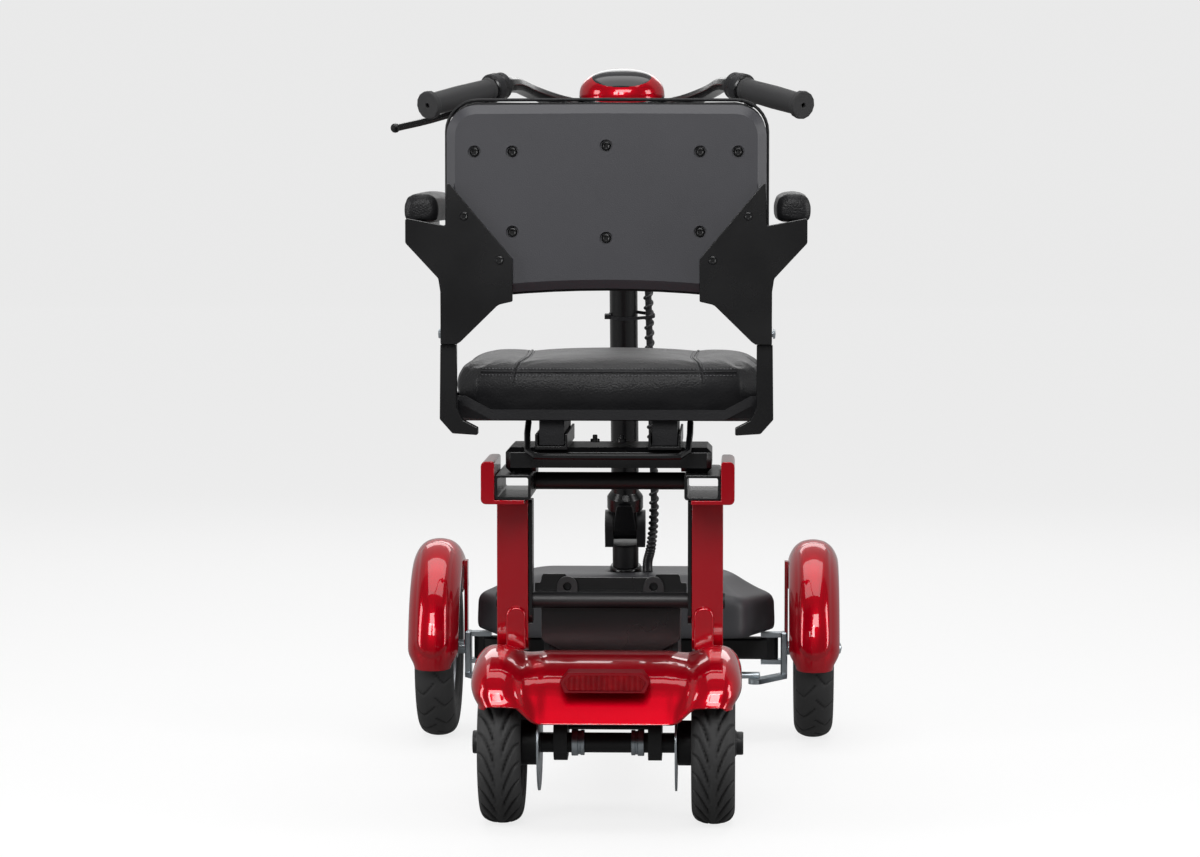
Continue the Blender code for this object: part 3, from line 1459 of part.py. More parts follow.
def dash_pod(holder):
    """The red instrument dome on the tiller head."""
    levels = ((0.0, 0.90), (0.12, 0.985), (0.3, 1.0), (0.55, 0.94), (0.8, 0.76), (0.95, 0.46), (1.0, 0.2))
    rings = []
    for share, grow in levels:
        ring = []
        for i in range(DASH_SIDES):
            turn = 2 * math.pi * i / DASH_SIDES
            c, s = math.cos(turn), math.sin(turn)
            reach = (abs(c) ** 2.6 + abs(s) ** 2.6) ** (-1 / 2.6)
            size = grow * reach
            ring.append(Vector((DASH_HALF * size * c, DASH_LENGTH * size * s, DASH_RISE * share)))
        rings.append(ring)
    pod = loft(rings)
    pod.data.transform(dash_place())
    return part(pod, "dash_pod", RED, holder)


def dash_place():
    """The dash sits on the head and tips back towards the rider."""
    seat = along(HEAD_AT + HEAD_HALF + SEAT_GAP)
    return Matrix.Translation(seat) @ Matrix.Rotation(TILLER_LEAN, 4, "X")


def dash_display(holder):
    """The dark lens-shaped screen on the dome."""
    half, rise = DASH_HALF * 0.62, DASH_LENGTH * 0.34
    bend = (half**2 + rise**2) / (2 * rise)
    spread = math.degrees(math.asin(half / bend))
    outline = arc((0, rise - bend), bend, 90 + spread, 90 - spread, 8)
    outline += arc((0, bend - rise), bend, 270 + spread, 270 - spread, 8)[1:-1]
    place = dash_place() @ Matrix.Translation((0, 0, DASH_RISE + SCREEN_THICK / 2 + SEAT_GAP))
    return part(plate([outline], SCREEN_THICK, place), "dash_display", DISPLAY, holder)


def loom_path():
    """The wrapped cable beside the tiller, from the deck to the head."""
    return [
        Vector((0.032, TILLER_FOOT.y - 0.023, DECK_TOP + 2 * SEAT_GAP)),
        Vector((0.032, TILLER_FOOT.y - 0.023, DECK_TOP + 0.015)),
        Vector((0.037, TILLER_FOOT.y - 0.029, DECK_TOP + 0.038)),
        along(0.105, 0.041, 0.006),
        along(0.200, 0.039, 0.006),
        along(0.300, 0.037, 0.004),
        along(0.400, 0.035, 0.003),
        along(0.500, 0.032, 0.002),
        along(0.600, 0.030, 0.003),
        along(HEAD_AT - 0.0215, 0.027, 0.004),
    ]


def control_loom(holder):
    """A cable bundle in spiral wrap: each turn of the wrap is a low ridge."""
    path = smooth_path(loom_path(), 12)
    lengths = [0.0]
    for a, b in zip(path, path[1:]):
        lengths.append(lengths[-1] + (b - a).length)
    turns = int(lengths[-1] / WRAP_PITCH)
    points, scales = [], []
    for i in range(2 * turns + 1):
        reach = lengths[-1] * i / (2 * turns)
        k = max(j for j in range(len(path) - 1) if lengths[j] <= reach)
        share = min(1.0, (reach - lengths[k]) / (lengths[k + 1] - lengths[k]))
        points.append(path[k].lerp(path[k + 1], share))
        scales.append(1.0 if i % 2 else 0.86)
    return part(swept(points, LOOM_RADIUS, 1, scales), "control_loom", LOOM, holder)


# Front wheels


def knuckle(side, name, holder):
    """A steering knuckle: ears and pin round the boss, stub axle, steering arm and fender stay."""
    z = FRONT_RADIUS
    ear_gap, ear = BOSS_HALF + RUNNING, 0.0065
    ear_top = z + ear_gap + ear
    arm_low = ARM_TOP_Z - 0.007
    face_inner, face_outer = KINGPIN_X + 0.0165, FENDER_INNER - SEAT_GAP
    rear, front = WHEELBASE - 0.013, WHEELBASE + 0.013
    low, high = arm_low + KNUCKLE_LAND, ear_top + KNUCKLE_LAND
    body_outer = face_outer - KNUCKLE_LAND
    body = side_block(side, (face_inner, rear, low), (body_outer, front, high), 0.002, 1)
    for low in (z + ear_gap, z - ear_gap - ear):
        near = (KINGPIN_X - 0.012, rear + 0.002, low)
        far = (face_inner + 0.003, front - 0.002, low + ear)
        body = joined(body, side_block(side, near, far))
    pin = Vector((side * KINGPIN_X, WHEELBASE, z))
    pin_half = Z_AXIS * (ear_gap + ear - 0.001)
    body = joined(body, rod(pin - pin_half, pin + pin_half, KINGPIN_RADIUS))
    inner_end = KINGPIN_X - ARM_INSET
    rear_end = WHEELBASE - ARM_LENGTH
    arm = [
        (side * (face_outer - 0.001), WHEELBASE + 0.010),
        (side * (face_outer - 0.001), WHEELBASE - 0.012),
        *[(side * (inner_end + px), rear_end + py) for px, py in arc((0, 0), 0.010, -30, -240, 8)],
        (side * (face_inner + 0.001), WHEELBASE + 0.005),
    ]
    body = joined(body, flat_plate([arm], arm_low, ARM_TOP_Z))
    stay_top = z + FENDER_RADIUS - FENDER_SKIRT + 0.006
    stay_low = (face_outer - 0.005, WHEELBASE - 0.010, z)
    stay_high = (face_outer, WHEELBASE + 0.010, stay_top)
    stay = side_block(side, stay_low, stay_high)
    axle = turned(
        [
            (0, face_outer - 0.003),
            (0.010, face_outer - 0.003),
            (0.010, FRONT_HUB_INNER - RUNNING),
            (FRONT_STUB, FRONT_HUB_INNER - RUNNING),
            (FRONT_STUB, FRONT_HUB_OUTER + RUNNING),
            (0.0105, FRONT_HUB_OUTER + RUNNING),
            (0.0105, AXLE_END - 0.008),
            (0.0075, AXLE_END - 0.002),
            (0, AXLE_END),
        ],
        (0, WHEELBASE, z),
        X_AXIS * side,
        16,
        closed=False,
    )
    return part(joined(body, stay, axle), "knuckle_" + name, ZINC, holder)


def tie_rod(holder):
    """The rod that joins the two steering arms."""
    inner_end = KINGPIN_X - ARM_INSET
    y = TIE_ROD_Y
    half = [
        (TIE_ROD_RADIUS, inner_end - 0.020),
        (TIE_ROD_RADIUS - 0.0002, inner_end - 0.012),
        (TIE_ROD_RADIUS - 0.0002, inner_end + 0.006),
        (0, inner_end + 0.007),
    ]
    profile = [(r, -h) for r, h in reversed(half)] + half
    rod_body = turned(profile, (0, y, TIE_ROD_Z), X_AXIS, 12, closed=False)
    return part(rod_body, "tie_rod", ZINC, holder)


def front_fender(side, name, holder):
    """The glossy fender that turns with a front wheel: a round hood swept over the wheel."""
    inner, outer, radius = FENDER_INNER, FENDER_OUTER, FENDER_RADIUS
    section = [
        (inner, FENDER_SKIRT),
        (inner, FENDER_SKIRT - 0.0075),
        (inner + 0.0075, 0.0115),
        (inner + 0.0235, 0),
        (outer - 0.0235, 0),
        (outer - 0.0075, 0.0115),
        (outer, FENDER_SKIRT - 0.0075),
        (outer, FENDER_SKIRT + 0.002),
    ]
    steps = 15
    rows = []
    for i in range(steps + 1):
        share = i / steps
        turn = FENDER_AHEAD - (FENDER_AHEAD + FENDER_BEHIND) * share
        near_end = min(share, 1 - share) * steps
        tuck = 0.010 * max(0.0, 1 - near_end / 2) ** 2
        row = []
        for x, drop in section:
            x = x + tuck if x < (inner + outer) / 2 else x - tuck
            r = radius - drop * (1 - 35 * tuck)
            y, z = WHEELBASE + r * math.sin(turn), FRONT_RADIUS + r * math.cos(turn)
            row.append((side * x, y, z))
        rows.append(row if side < 0 else row[::-1])
    return part(sheet(rows, FENDER_WALL), "front_fender_" + name, RED, holder, math.radians(40))


def tyre(centre_x, y, radius, width, rim, name, holder):
    """A round-shouldered tyre with a flat crown."""
    half = width / 2
    depth = radius - rim
    right = [
        (rim, half * 0.70),
        (rim + depth * 0.20, half * 0.94),
        (rim + depth * 0.48, half),
        (rim + depth * 0.76, half * 0.90),
        (rim + depth * 0.93, half * 0.62),
        (radius, half * 0.28),
    ]
    profile = right + [(r, -h) for r, h in reversed(right)]
    place = (centre_x, y, radius)
    return part(turned(profile, place, X_AXIS, WHEEL_STEPS), name, RUBBER, holder)


def front_rim(side, name, holder):
    """A moulded rim with five round windows in its web."""
    barrel, seat = FRONT_RIM - SEAT_GAP, FRONT_TYRE_WIDTH * 0.35
    bore = FRONT_STUB + RUNNING
    centre = FRONT_TRACK / 2
    inner, outer = FRONT_HUB_INNER - centre, FRONT_HUB_OUTER - centre
    profile = [
        (bore, inner),
        (0.016, inner),
        (0.018, 0.002),
        (0.060, 0.003),
        (0.066, -seat),
        (barrel, -seat),
        (barrel, seat),
        (0.066, seat),
        (0.060, 0.011),
        (0.016, 0.011),
        (0.016, outer),
        (bore, outer),
    ]
    origin = Vector((side * centre, WHEELBASE, FRONT_RADIUS))
    rim = turned(profile, origin, X_AXIS * side, WHEEL_STEPS)
    for i in range(5):
        turn = 2 * math.pi * (i + 0.5) / 5
        middle = origin + Vector((0, 0.040 * math.cos(turn), 0.040 * math.sin(turn)))
        rim = cut(rim, rod(middle - X_AXIS * 0.05, middle + X_AXIS * 0.05, 0.0135, 8))
    return part(rim, "front_rim_" + name, RIM_GREY, holder)


# Rear wheels


def rear_hub(side, name, holder):
    """The hub: a drum inside, a dished web and a cap over the end of the stub."""
    barrel, centre = REAR_RIM - 2 * SEAT_GAP, REAR_TRACK / 2
    seat = REAR_TYRE_WIDTH * 0.35
    bore = STUB_RADIUS + RUNNING
    profile = [
        (0, HUB_BORE_END),
        (bore, HUB_BORE_END),
        (bore, HUB_INNER),
        (DRUM_RADIUS, HUB_INNER),
        (DRUM_RADIUS, centre - 0.028),
        (0.047, centre - seat),
        (barrel, centre - seat),
        (barrel, centre + seat),
        (0.048, centre + seat),
        (0.044, centre + 0.010),
        (0.022, centre + 0.010),
        (0.018, HUB_CAP_FACE - 0.006),
        (0.0145, HUB_CAP_FACE - 0.005),
        (0.0140, HUB_CAP_FACE - 0.001),
        (0, HUB_CAP_FACE),
    ]
    hub = turned(profile, (0, 0, REAR_RADIUS), X_AXIS * side, HUB_STEPS, closed=False)
    return part(hub, "rear_hub_" + name, SATIN, holder)


def brake_disc(side, name, holder):
    """A thin steel disc with a ring of cooling holes."""
    hub_hole = STUB_RADIUS + RUNNING + 0.004
    loops = [circle((0, REAR_RADIUS), DISC_RADIUS, WHEEL_STEPS), circle((0, REAR_RADIUS), hub_hole, 12)]
    hole_ring = DISC_RADIUS - 0.016
    for i in range(6):
        turn = 2 * math.pi * i / 6
        middle = (hole_ring * math.cos(turn), REAR_RADIUS + hole_ring * math.sin(turn))
        loops.append(circle(middle, 0.005, 6))
    low, high = sorted((side * DISC_INNER, side * (DISC_INNER + DISC_THICK)))
    return part(side_plate(loops, low, high), "brake_disc_" + name, ZINC, holder)


HEAD = along(HEAD_AT)
GRIP_START = HEAD + GRIP_FROM_HEAD
BALL_CENTRE = HEAD + BALL_FROM_HEAD

STEER = pivot("steer", TILLER_FOOT, DATUM)
TILLER = pivot("tiller_fold", along(FOLD_AT), STEER)
LATCH = pivot("latch", along(LATCH_AT, back=LATCH_BACK), TILLER)
BARS = pivot("telescope", along(UPPER_TUBE_START), TILLER)
THROTTLE = pivot("throttle", GRIP_START, BARS)
LEVER = pivot("brake", lever_hinge(), BARS)
TIE = pivot("tie_rod_shift", (0, TIE_ROD_Y, TIE_ROD_Z), DATUM)

steering_stem(STEER)
tiller_lower_tube(TILLER)
fold_latch_lever(LATCH)
control_loom(TILLER)
tiller_upper_tube(BARS)
handlebar(BARS)
grip(-1, "l", BARS)
grip(1, "r", THROTTLE)
control_clamp(-1, "brake_clamp", BARS)
control_clamp(1, "throttle_clamp", BARS)
brake_lever(LEVER)
dash_pod(BARS)
dash_display(BARS)
tie_rod(TIE)
for label, hand in SIDES.items():
    swivel = pivot("swivel_" + label, (hand * KINGPIN_X, WHEELBASE, FRONT_RADIUS), DATUM)
    knuckle(hand, label, swivel)
    front_fender(hand, label, swivel)
    front_x = hand * FRONT_TRACK / 2
    spin = pivot("front_spin_" + label, (front_x, WHEELBASE, FRONT_RADIUS), swivel)
    tyre(front_x, WHEELBASE, FRONT_RADIUS, FRONT_TYRE_WIDTH, FRONT_RIM, "front_tyre_" + label, spin)
    front_rim(hand, label, spin)
    rear_x = hand * REAR_TRACK / 2
    spin = pivot("rear_spin_" + label, (rear_x, 0, REAR_RADIUS), DATUM)
    tyre(rear_x, 0, REAR_RADIUS, REAR_TYRE_WIDTH, REAR_RIM, "rear_tyre_" + label, spin)
    rear_hub(hand, label, spin)
    brake_disc(hand, label, spin)
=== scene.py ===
"""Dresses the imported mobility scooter: finishes, upholstery, tread, wiring and the studio it stands in."""

import json
import math

import bpy
from mathutils import Matrix, Vector

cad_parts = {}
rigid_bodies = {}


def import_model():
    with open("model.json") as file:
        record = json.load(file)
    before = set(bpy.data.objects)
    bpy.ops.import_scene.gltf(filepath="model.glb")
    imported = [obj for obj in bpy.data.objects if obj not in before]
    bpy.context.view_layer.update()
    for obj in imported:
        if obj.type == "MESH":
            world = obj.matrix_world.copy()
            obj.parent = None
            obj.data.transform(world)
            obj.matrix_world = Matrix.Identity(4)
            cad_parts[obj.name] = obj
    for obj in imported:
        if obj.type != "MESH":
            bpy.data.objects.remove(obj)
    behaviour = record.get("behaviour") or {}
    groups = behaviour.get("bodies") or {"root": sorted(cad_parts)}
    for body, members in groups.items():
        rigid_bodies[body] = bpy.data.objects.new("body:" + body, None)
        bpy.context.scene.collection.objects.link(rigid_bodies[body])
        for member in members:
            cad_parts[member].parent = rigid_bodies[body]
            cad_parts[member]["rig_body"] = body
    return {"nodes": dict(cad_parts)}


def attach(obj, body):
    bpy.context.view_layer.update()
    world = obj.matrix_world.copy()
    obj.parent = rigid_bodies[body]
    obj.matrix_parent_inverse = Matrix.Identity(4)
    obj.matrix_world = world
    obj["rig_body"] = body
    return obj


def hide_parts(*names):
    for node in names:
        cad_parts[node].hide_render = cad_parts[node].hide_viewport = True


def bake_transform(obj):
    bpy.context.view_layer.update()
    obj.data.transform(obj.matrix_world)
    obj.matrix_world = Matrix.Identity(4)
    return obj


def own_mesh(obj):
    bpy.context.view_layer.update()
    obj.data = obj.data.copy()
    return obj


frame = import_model()["nodes"]
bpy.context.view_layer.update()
bpy.ops.object.select_all(action="DESELECT")

# The photographer stands about five metres behind the scooter with a long lens, the camera
# at handlebar height, looking a little down and to the left.
CAMERA_PLACE = (0.165, -5.1616, 0.807)
CAMERA_DOWN = math.radians(3.782)
CAMERA_LEFT = math.radians(2.096)
LENS_MM = 116.4

bpy.ops.object.camera_add(
    location=CAMERA_PLACE,
    rotation=(math.pi / 2 - CAMERA_DOWN, 0, CAMERA_LEFT),
)
camera = bpy.context.object
camera.data.lens = LENS_MM
camera.data.sensor_width = 36
bpy.context.scene.camera = camera

# The studio is a pale seamless sweep: a floor that turns up into a wall far in front of the scooter,
# exposed almost to white. A broad bank hangs overhead, a tall softbox stands on each side, and a pair of
# square panes behind the camera puts window shapes in the gloss.
SWEEP_SIZE = 40
SWEEP_BEND = 2.5
SWEEP_PALE = (0.16, 0.16, 0.16, 1)
SWEEP_WHITE = 0.80
SWEEP_BOUNCE = 0.07
SWEEP_GLEAM = 0.32
GLEAM_FROM_TO = (-0.3, 2.5)
AIR_WHITE = 0.88
AIR_FILL = 0.045
LAMPS = (
    ("overhead_bank", (0, 0.1, 3.0), (0, 0.1, 0), (2.6, 2.6), 52),
    ("left_softbox", (-2.3, -1.1, 1.1), (0, 0, 0.5), (0.7, 2.0), 30),
    ("right_softbox", (2.4, -0.9, 1.1), (0, 0, 0.5), (0.7, 2.0), 30),
    ("left_pane", (-1.05, -4.4, 2.3), (0, 0, 0.4), (0.75, 1.1), 30),
    ("right_pane", (-0.05, -4.5, 2.3), (0, 0, 0.4), (0.75, 1.1), 30),
    ("high_fill", (0.3, -4.6, 3.6), (0, 0, 0.4), (3.0, 1.4), 105),
    ("far_bank", (0, 3.4, 2.2), (0, 0, 0.5), (3.0, 1.2), 26),
)


def wired(tree, *runs):
    """Joins nodes by their sockets: each run is a node, its output, the next node and its input."""
    for source, given, target, taken in runs:
        tree.links.new(source.outputs[given], target.inputs[taken])


bpy.context.scene.view_settings.view_transform = "Standard"
bpy.ops.mesh.primitive_plane_add(size=SWEEP_SIZE)
sweep = bpy.context.object
sweep.name = "floor_sweep"
bpy.ops.object.mode_set(mode="EDIT")
bpy.ops.mesh.select_mode(type="EDGE")
bpy.ops.object.mode_set(mode="OBJECT")
for edge in sweep.data.edges:
    ends = [sweep.data.vertices[i].co.y for i in edge.vertices]
    edge.select = min(ends) > SWEEP_SIZE / 2 - 0.01
bpy.ops.object.mode_set(mode="EDIT")
bpy.ops.mesh.extrude_region_move(TRANSFORM_OT_translate={"value": (0, 0, SWEEP_SIZE / 2)})
bpy.ops.object.mode_set(mode="OBJECT")
bend = sweep.modifiers.new("sweep_bend", "BEVEL")
bend.width = SWEEP_BEND
bend.segments = 24
bpy.ops.object.modifier_apply(modifier=bend.name)
bpy.ops.object.shade_smooth()
pale = bpy.data.materials.new("pale_paper")
pale.use_nodes = True
pale_shader = pale.node_tree.nodes["Principled BSDF"]
pale_shader.inputs["Base Color"].default_value = SWEEP_PALE
pale_shader.inputs["Roughness"].default_value = 0.9
pale_shader.inputs["Specular IOR Level"].default_value = 0.1
pale_shader.inputs["Emission Color"].default_value = (1, 1, 1, 1)
seen = pale.node_tree.nodes.new("ShaderNodeLightPath")
exposed = pale.node_tree.nodes.new("ShaderNodeMapRange")
exposed.inputs["To Min"].default_value = SWEEP_BOUNCE
exposed.inputs["To Max"].default_value = SWEEP_WHITE
where = pale.node_tree.nodes.new("ShaderNodeTexCoord")
parts = pale.node_tree.nodes.new("ShaderNodeSeparateXYZ")
far_side = pale.node_tree.nodes.new("ShaderNodeMapRange")
far_side.inputs["From Min"].default_value, far_side.inputs["From Max"].default_value = GLEAM_FROM_TO
far_side.inputs["To Max"].default_value = SWEEP_GLEAM
gleam = pale.node_tree.nodes.new("ShaderNodeMath")
gleam.operation = "MULTIPLY_ADD"
wired(
    pale.node_tree,
    (seen, "Is Camera Ray", exposed, "Value"), (where, "Object", parts, "Vector"),
    (parts, "Y", far_side, "Value"), (seen, "Is Glossy Ray", gleam, 0), (far_side, "Result", gleam, 1),
    (exposed, "Result", gleam, 2), (gleam, "Value", pale_shader, "Emission Strength"),
)
sweep.data.materials.append(pale)

for lamp_name, stand, target, (width, height), watts in LAMPS:
    aim = (Vector(target) - Vector(stand)).to_track_quat("-Z", "Y").to_euler()
    bpy.ops.object.light_add(type="AREA", location=stand, rotation=aim)
    lamp = bpy.context.object
    lamp.name = lamp_name
    lamp.data.shape = "RECTANGLE"
    lamp.data.size = width
    lamp.data.size_y = height
    lamp.data.energy = watts

air = bpy.data.worlds.new("studio_air")
air.use_nodes = True
sky = air.node_tree.nodes["Background"]
sky.inputs["Color"].default_value = (1, 1, 1, 1)
air_seen = air.node_tree.nodes.new("ShaderNodeLightPath")
air_glow = air.node_tree.nodes.new("ShaderNodeMapRange")
air_glow.inputs["To Min"].default_value = AIR_FILL
air_glow.inputs["To Max"].default_value = AIR_WHITE
wired(air.node_tree, (air_seen, "Is Camera Ray", air_glow, "Value"), (air_glow, "Result", sky, "Strength"))
bpy.context.scene.world = air


# The main frame is a welded box beam under the floor, powder-coated satin black. It carries the
# rear axle tube, a plain turned tube with two nickel-plated clamp collars either side of its middle.
REAR_AXLE_Y = -0.381617
SIDES = (("l", -1), ("r", 1))
MERGE = 0.00001
AXLE_HEIGHT = 0.100
AXLE_HALF = 0.0862
AXLE_TUBE = ((0.0, -AXLE_HALF), (0.0125, -AXLE_HALF), (0.0125, AXLE_HALF), (0.0, AXLE_HALF))
STUB = ((0.0, 0.0), (0.0098, 0.0), (0.0098, 0.066), (0.0088, 0.0675), (0.0, 0.0675))
COLLAR = (
    (0.0128, 0.029), (0.0152, 0.029), (0.0158, 0.0296), (0.0158, 0.0335), (0.0148, 0.0345),
    (0.0148, 0.0365), (0.0165, 0.0375), (0.0165, 0.0445), (0.0159, 0.0451), (0.0128, 0.0451),
)
SATIN_DARK = (0.006, 0.006, 0.007, 1)
SATIN_LIGHT = (0.013, 0.013, 0.014, 1)
WORN_FROM_TO = (0.52, 0.62)
ZINC_DARK = (0.36, 0.41, 0.45, 1)
ZINC_LIGHT = (0.62, 0.67, 0.70, 1)


def at(x, y, z):
    """A point given from the rear axle, as the scooter's plans measure it."""
    return Vector((x, y + REAR_AXLE_Y, z))


def node_group(name, takes, gives):
    """An empty node group with number or colour sockets, and its input and output nodes."""
    tree = bpy.data.node_groups.new(name, "ShaderNodeTree")
    for socket_name, kind in takes:
        tree.interface.new_socket(socket_name, in_out="INPUT", socket_type=kind)
    for socket_name, kind in gives:
        tree.interface.new_socket(socket_name, in_out="OUTPUT", socket_type=kind)
    return tree, tree.nodes.new("NodeGroupInput"), tree.nodes.new("NodeGroupOutput")


def mottle_group():
    """Two colours and two roughnesses mixed by soft noise, paler on worn edges."""
    tree, given, result = node_group(
        "mottle",
        (
            ("Scale", "NodeSocketFloat"), ("Dark", "NodeSocketColor"), ("Light", "NodeSocketColor"),
            ("Low", "NodeSocketFloat"), ("High", "NodeSocketFloat"), ("Wear", "NodeSocketFloat"),
        ),
        (("Colour", "NodeSocketColor"), ("Roughness", "NodeSocketFloat")),
    )
    nodes = tree.nodes
    place = nodes.new("ShaderNodeTexCoord")
    noise = nodes.new("ShaderNodeTexNoise")
    noise.inputs["Detail"].default_value = 5
    mix = nodes.new("ShaderNodeMix")
    mix.data_type = "RGBA"
    shape = nodes.new("ShaderNodeNewGeometry")
    edge = nodes.new("ShaderNodeMapRange")
    edge.inputs["From Min"].default_value, edge.inputs["From Max"].default_value = WORN_FROM_TO
    worn = nodes.new("ShaderNodeMath")
    worn.operation = "MULTIPLY"
    scuffed = nodes.new("ShaderNodeMix")
    scuffed.data_type = "RGBA"
    rough = nodes.new("ShaderNodeMapRange")
    wired(
        tree,
        (place, "Object", noise, "Vector"), (given, "Scale", noise, "Scale"), (noise, "Fac", mix, "Factor"),
        (given, "Dark", mix, "A"), (given, "Light", mix, "B"), (shape, "Pointiness", edge, "Value"),
        (edge, "Result", worn, 0), (given, "Wear", worn, 1), (worn, "Value", scuffed, "Factor"),
        (mix, "Result", scuffed, "A"), (given, "Light", scuffed, "B"), (noise, "Fac", rough, "Value"),
        (given, "Low", rough, "To Min"), (given, "High", rough, "To Max"),
        (scuffed, "Result", result, "Colour"), (rough, "Result", result, "Roughness"),
    )
    return tree


def grain_group():
    """The fine pebbling of a powder coat or a moulded face, as a height."""
    tree, given, result = node_group(
        "grain", (("Scale", "NodeSocketFloat"),), (("Height", "NodeSocketFloat"),)
    )
    place = tree.nodes.new("ShaderNodeTexCoord")
    noise = tree.nodes.new("ShaderNodeTexNoise")
    noise.inputs["Detail"].default_value = 2
    wired(
        tree,
        (place, "Object", noise, "Vector"), (given, "Scale", noise, "Scale"),
        (noise, "Fac", result, "Height"),
    )
    return tree


MOTTLE = mottle_group()
GRAIN = grain_group()


def finished(name, dark, light, scale, low, high, wear=0.0, **plain):
    """A material whose colour and roughness drift between two values; the rest stay constant."""
    material = bpy.data.materials.new(name)
    material.use_nodes = True
    tree = material.node_tree
    shader = tree.nodes["Principled BSDF"]
    mottle = tree.nodes.new("ShaderNodeGroup")
    mottle.node_tree = MOTTLE
    for socket, value in (
        ("Scale", scale), ("Dark", dark), ("Light", light), ("Low", low), ("High", high), ("Wear", wear),
    ):
        mottle.inputs[socket].default_value = value
    wired(tree, (mottle, "Colour", shader, "Base Color"), (mottle, "Roughness", shader, "Roughness"))
    for socket, value in plain.items():
        shader.inputs[socket.replace("_", " ")].default_value = value
    return material


def embossed(material, group, strength, depth, **values):
    """Adds a group's height to the material's relief, over whatever relief it has already."""
    tree = material.node_tree
    shader = tree.nodes["Principled BSDF"]
    bump = tree.nodes.new("ShaderNodeBump")
    bump.inputs["Strength"].default_value = strength
    bump.inputs["Distance"].default_value = depth
    relief = tree.nodes.new("ShaderNodeGroup")
    relief.node_tree = group
    for socket, value in values.items():
        relief.inputs[socket].default_value = value
    if shader.inputs["Normal"].is_linked:
        tree.links.new(shader.inputs["Normal"].links[0].from_socket, bump.inputs["Normal"])
    wired(tree, (relief, "Height", bump, "Height"), (bump, "Normal", shader, "Normal"))
    return material


def select_only(piece):
    """Makes the piece the one selected and active object."""
    bpy.ops.object.select_all(action="DESELECT")
    piece.select_set(True)
    bpy.context.view_layer.objects.active = piece


def modified(piece, kind, **settings):
    """Adds a modifier with the settings and applies it."""
    select_only(piece)
    modifier = piece.modifiers.new(kind.lower(), kind)
    for setting, value in settings.items():
        setattr(modifier, setting, value)
    bpy.ops.object.modifier_apply(modifier=modifier.name)
    return piece


def smoothed(piece, angle=35):
    """Smooth shading that breaks at edges sharper than the angle in degrees."""
    select_only(piece)
    bpy.ops.object.shade_smooth_by_angle(angle=math.radians(angle))
    return piece


def fixed(piece, body, material):
    """Gives the piece its finish and the body it rides on."""
    piece.data.materials.clear()
    piece.data.materials.append(material)
    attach(piece, body)
    return piece


def bare_copy(name):
    """A copy of a plain solid, its loose triangles merged back into whole flats."""
    piece = bpy.data.objects.new(name + "_skin", frame[name].data.copy())
    bpy.context.collection.objects.link(piece)
    select_only(piece)
    if piece.data.has_custom_normals:
        bpy.ops.mesh.customdata_custom_splitnormals_clear()
    bpy.ops.object.mode_set(mode="EDIT")
    bpy.ops.mesh.select_all(action="SELECT")
    bpy.ops.mesh.remove_doubles(threshold=MERGE)
    bpy.ops.mesh.dissolve_limited(angle_limit=math.radians(0.5))
    bpy.ops.mesh.normals_make_consistent(inside=False)
    bpy.ops.object.mode_set(mode="OBJECT")
    return piece


def edged(piece, radius, segments=2, angle=30):
    """Rounds the edges sharper than the angle and shades the piece smooth between them."""
    modified(
        piece, "BEVEL", width=radius, segments=segments, limit_method="ANGLE",
        angle_limit=math.radians(angle), use_clamp_overlap=True,
    )
    smoothed(piece)
    return modified(piece, "WEIGHTED_NORMAL", keep_sharp=True, weight=80)


def softened(name, radius, material, segments=2, angle=30):
    """A copy of a plain solid with its edges rounded and its finish on, shown in the solid's place."""
    piece = bare_copy(name)
    if radius:
        edged(piece, radius, segments, angle)
    else:
        smoothed(piece)
    fixed(piece, frame[name]["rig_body"], material)
    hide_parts(name)
    return piece


def drawn(name, points):
    """A chain of edges through the points, each vertex extruded from the last."""
    bpy.ops.object.select_all(action="DESELECT")
    bpy.ops.mesh.primitive_plane_add(size=0.001)
    piece = bpy.context.object
    piece.name = name
    bpy.ops.object.mode_set(mode="EDIT")
    bpy.ops.mesh.select_mode(type="VERT")
    bpy.ops.mesh.select_all(action="SELECT")
    bpy.ops.mesh.merge(type="CENTER")
    bpy.ops.transform.translate(value=points[0])
    for start, stop in zip(points, points[1:]):
        bpy.ops.mesh.extrude_vertices_move(TRANSFORM_OT_translate={"value": stop - start})
    bpy.ops.object.mode_set(mode="OBJECT")
    return piece


def closed_up(merge=MERGE):
    """From edit mode: merges the mesh's doubles, turns its faces outwards and returns to object mode."""
    bpy.ops.mesh.select_all(action="SELECT")
    bpy.ops.mesh.remove_doubles(threshold=merge)
    bpy.ops.mesh.normals_make_consistent(inside=False)
    bpy.ops.object.mode_set(mode="OBJECT")


def spun(name, profile, centre, axis, steps=64, angle=30):
    """A profile of (radius, distance along the axis) points drawn and spun about the axis."""
    axis = Vector(axis).normalized()
    out = axis.orthogonal().normalized()
    piece = drawn(name, [Vector(centre) + out * r + axis * d for r, d in profile])
    bpy.ops.object.mode_set(mode="EDIT")
    bpy.ops.mesh.select_all(action="SELECT")
    bpy.ops.mesh.spin(steps=steps, angle=2 * math.pi, center=centre, axis=axis)
    closed_up()
    return smoothed(piece, angle)


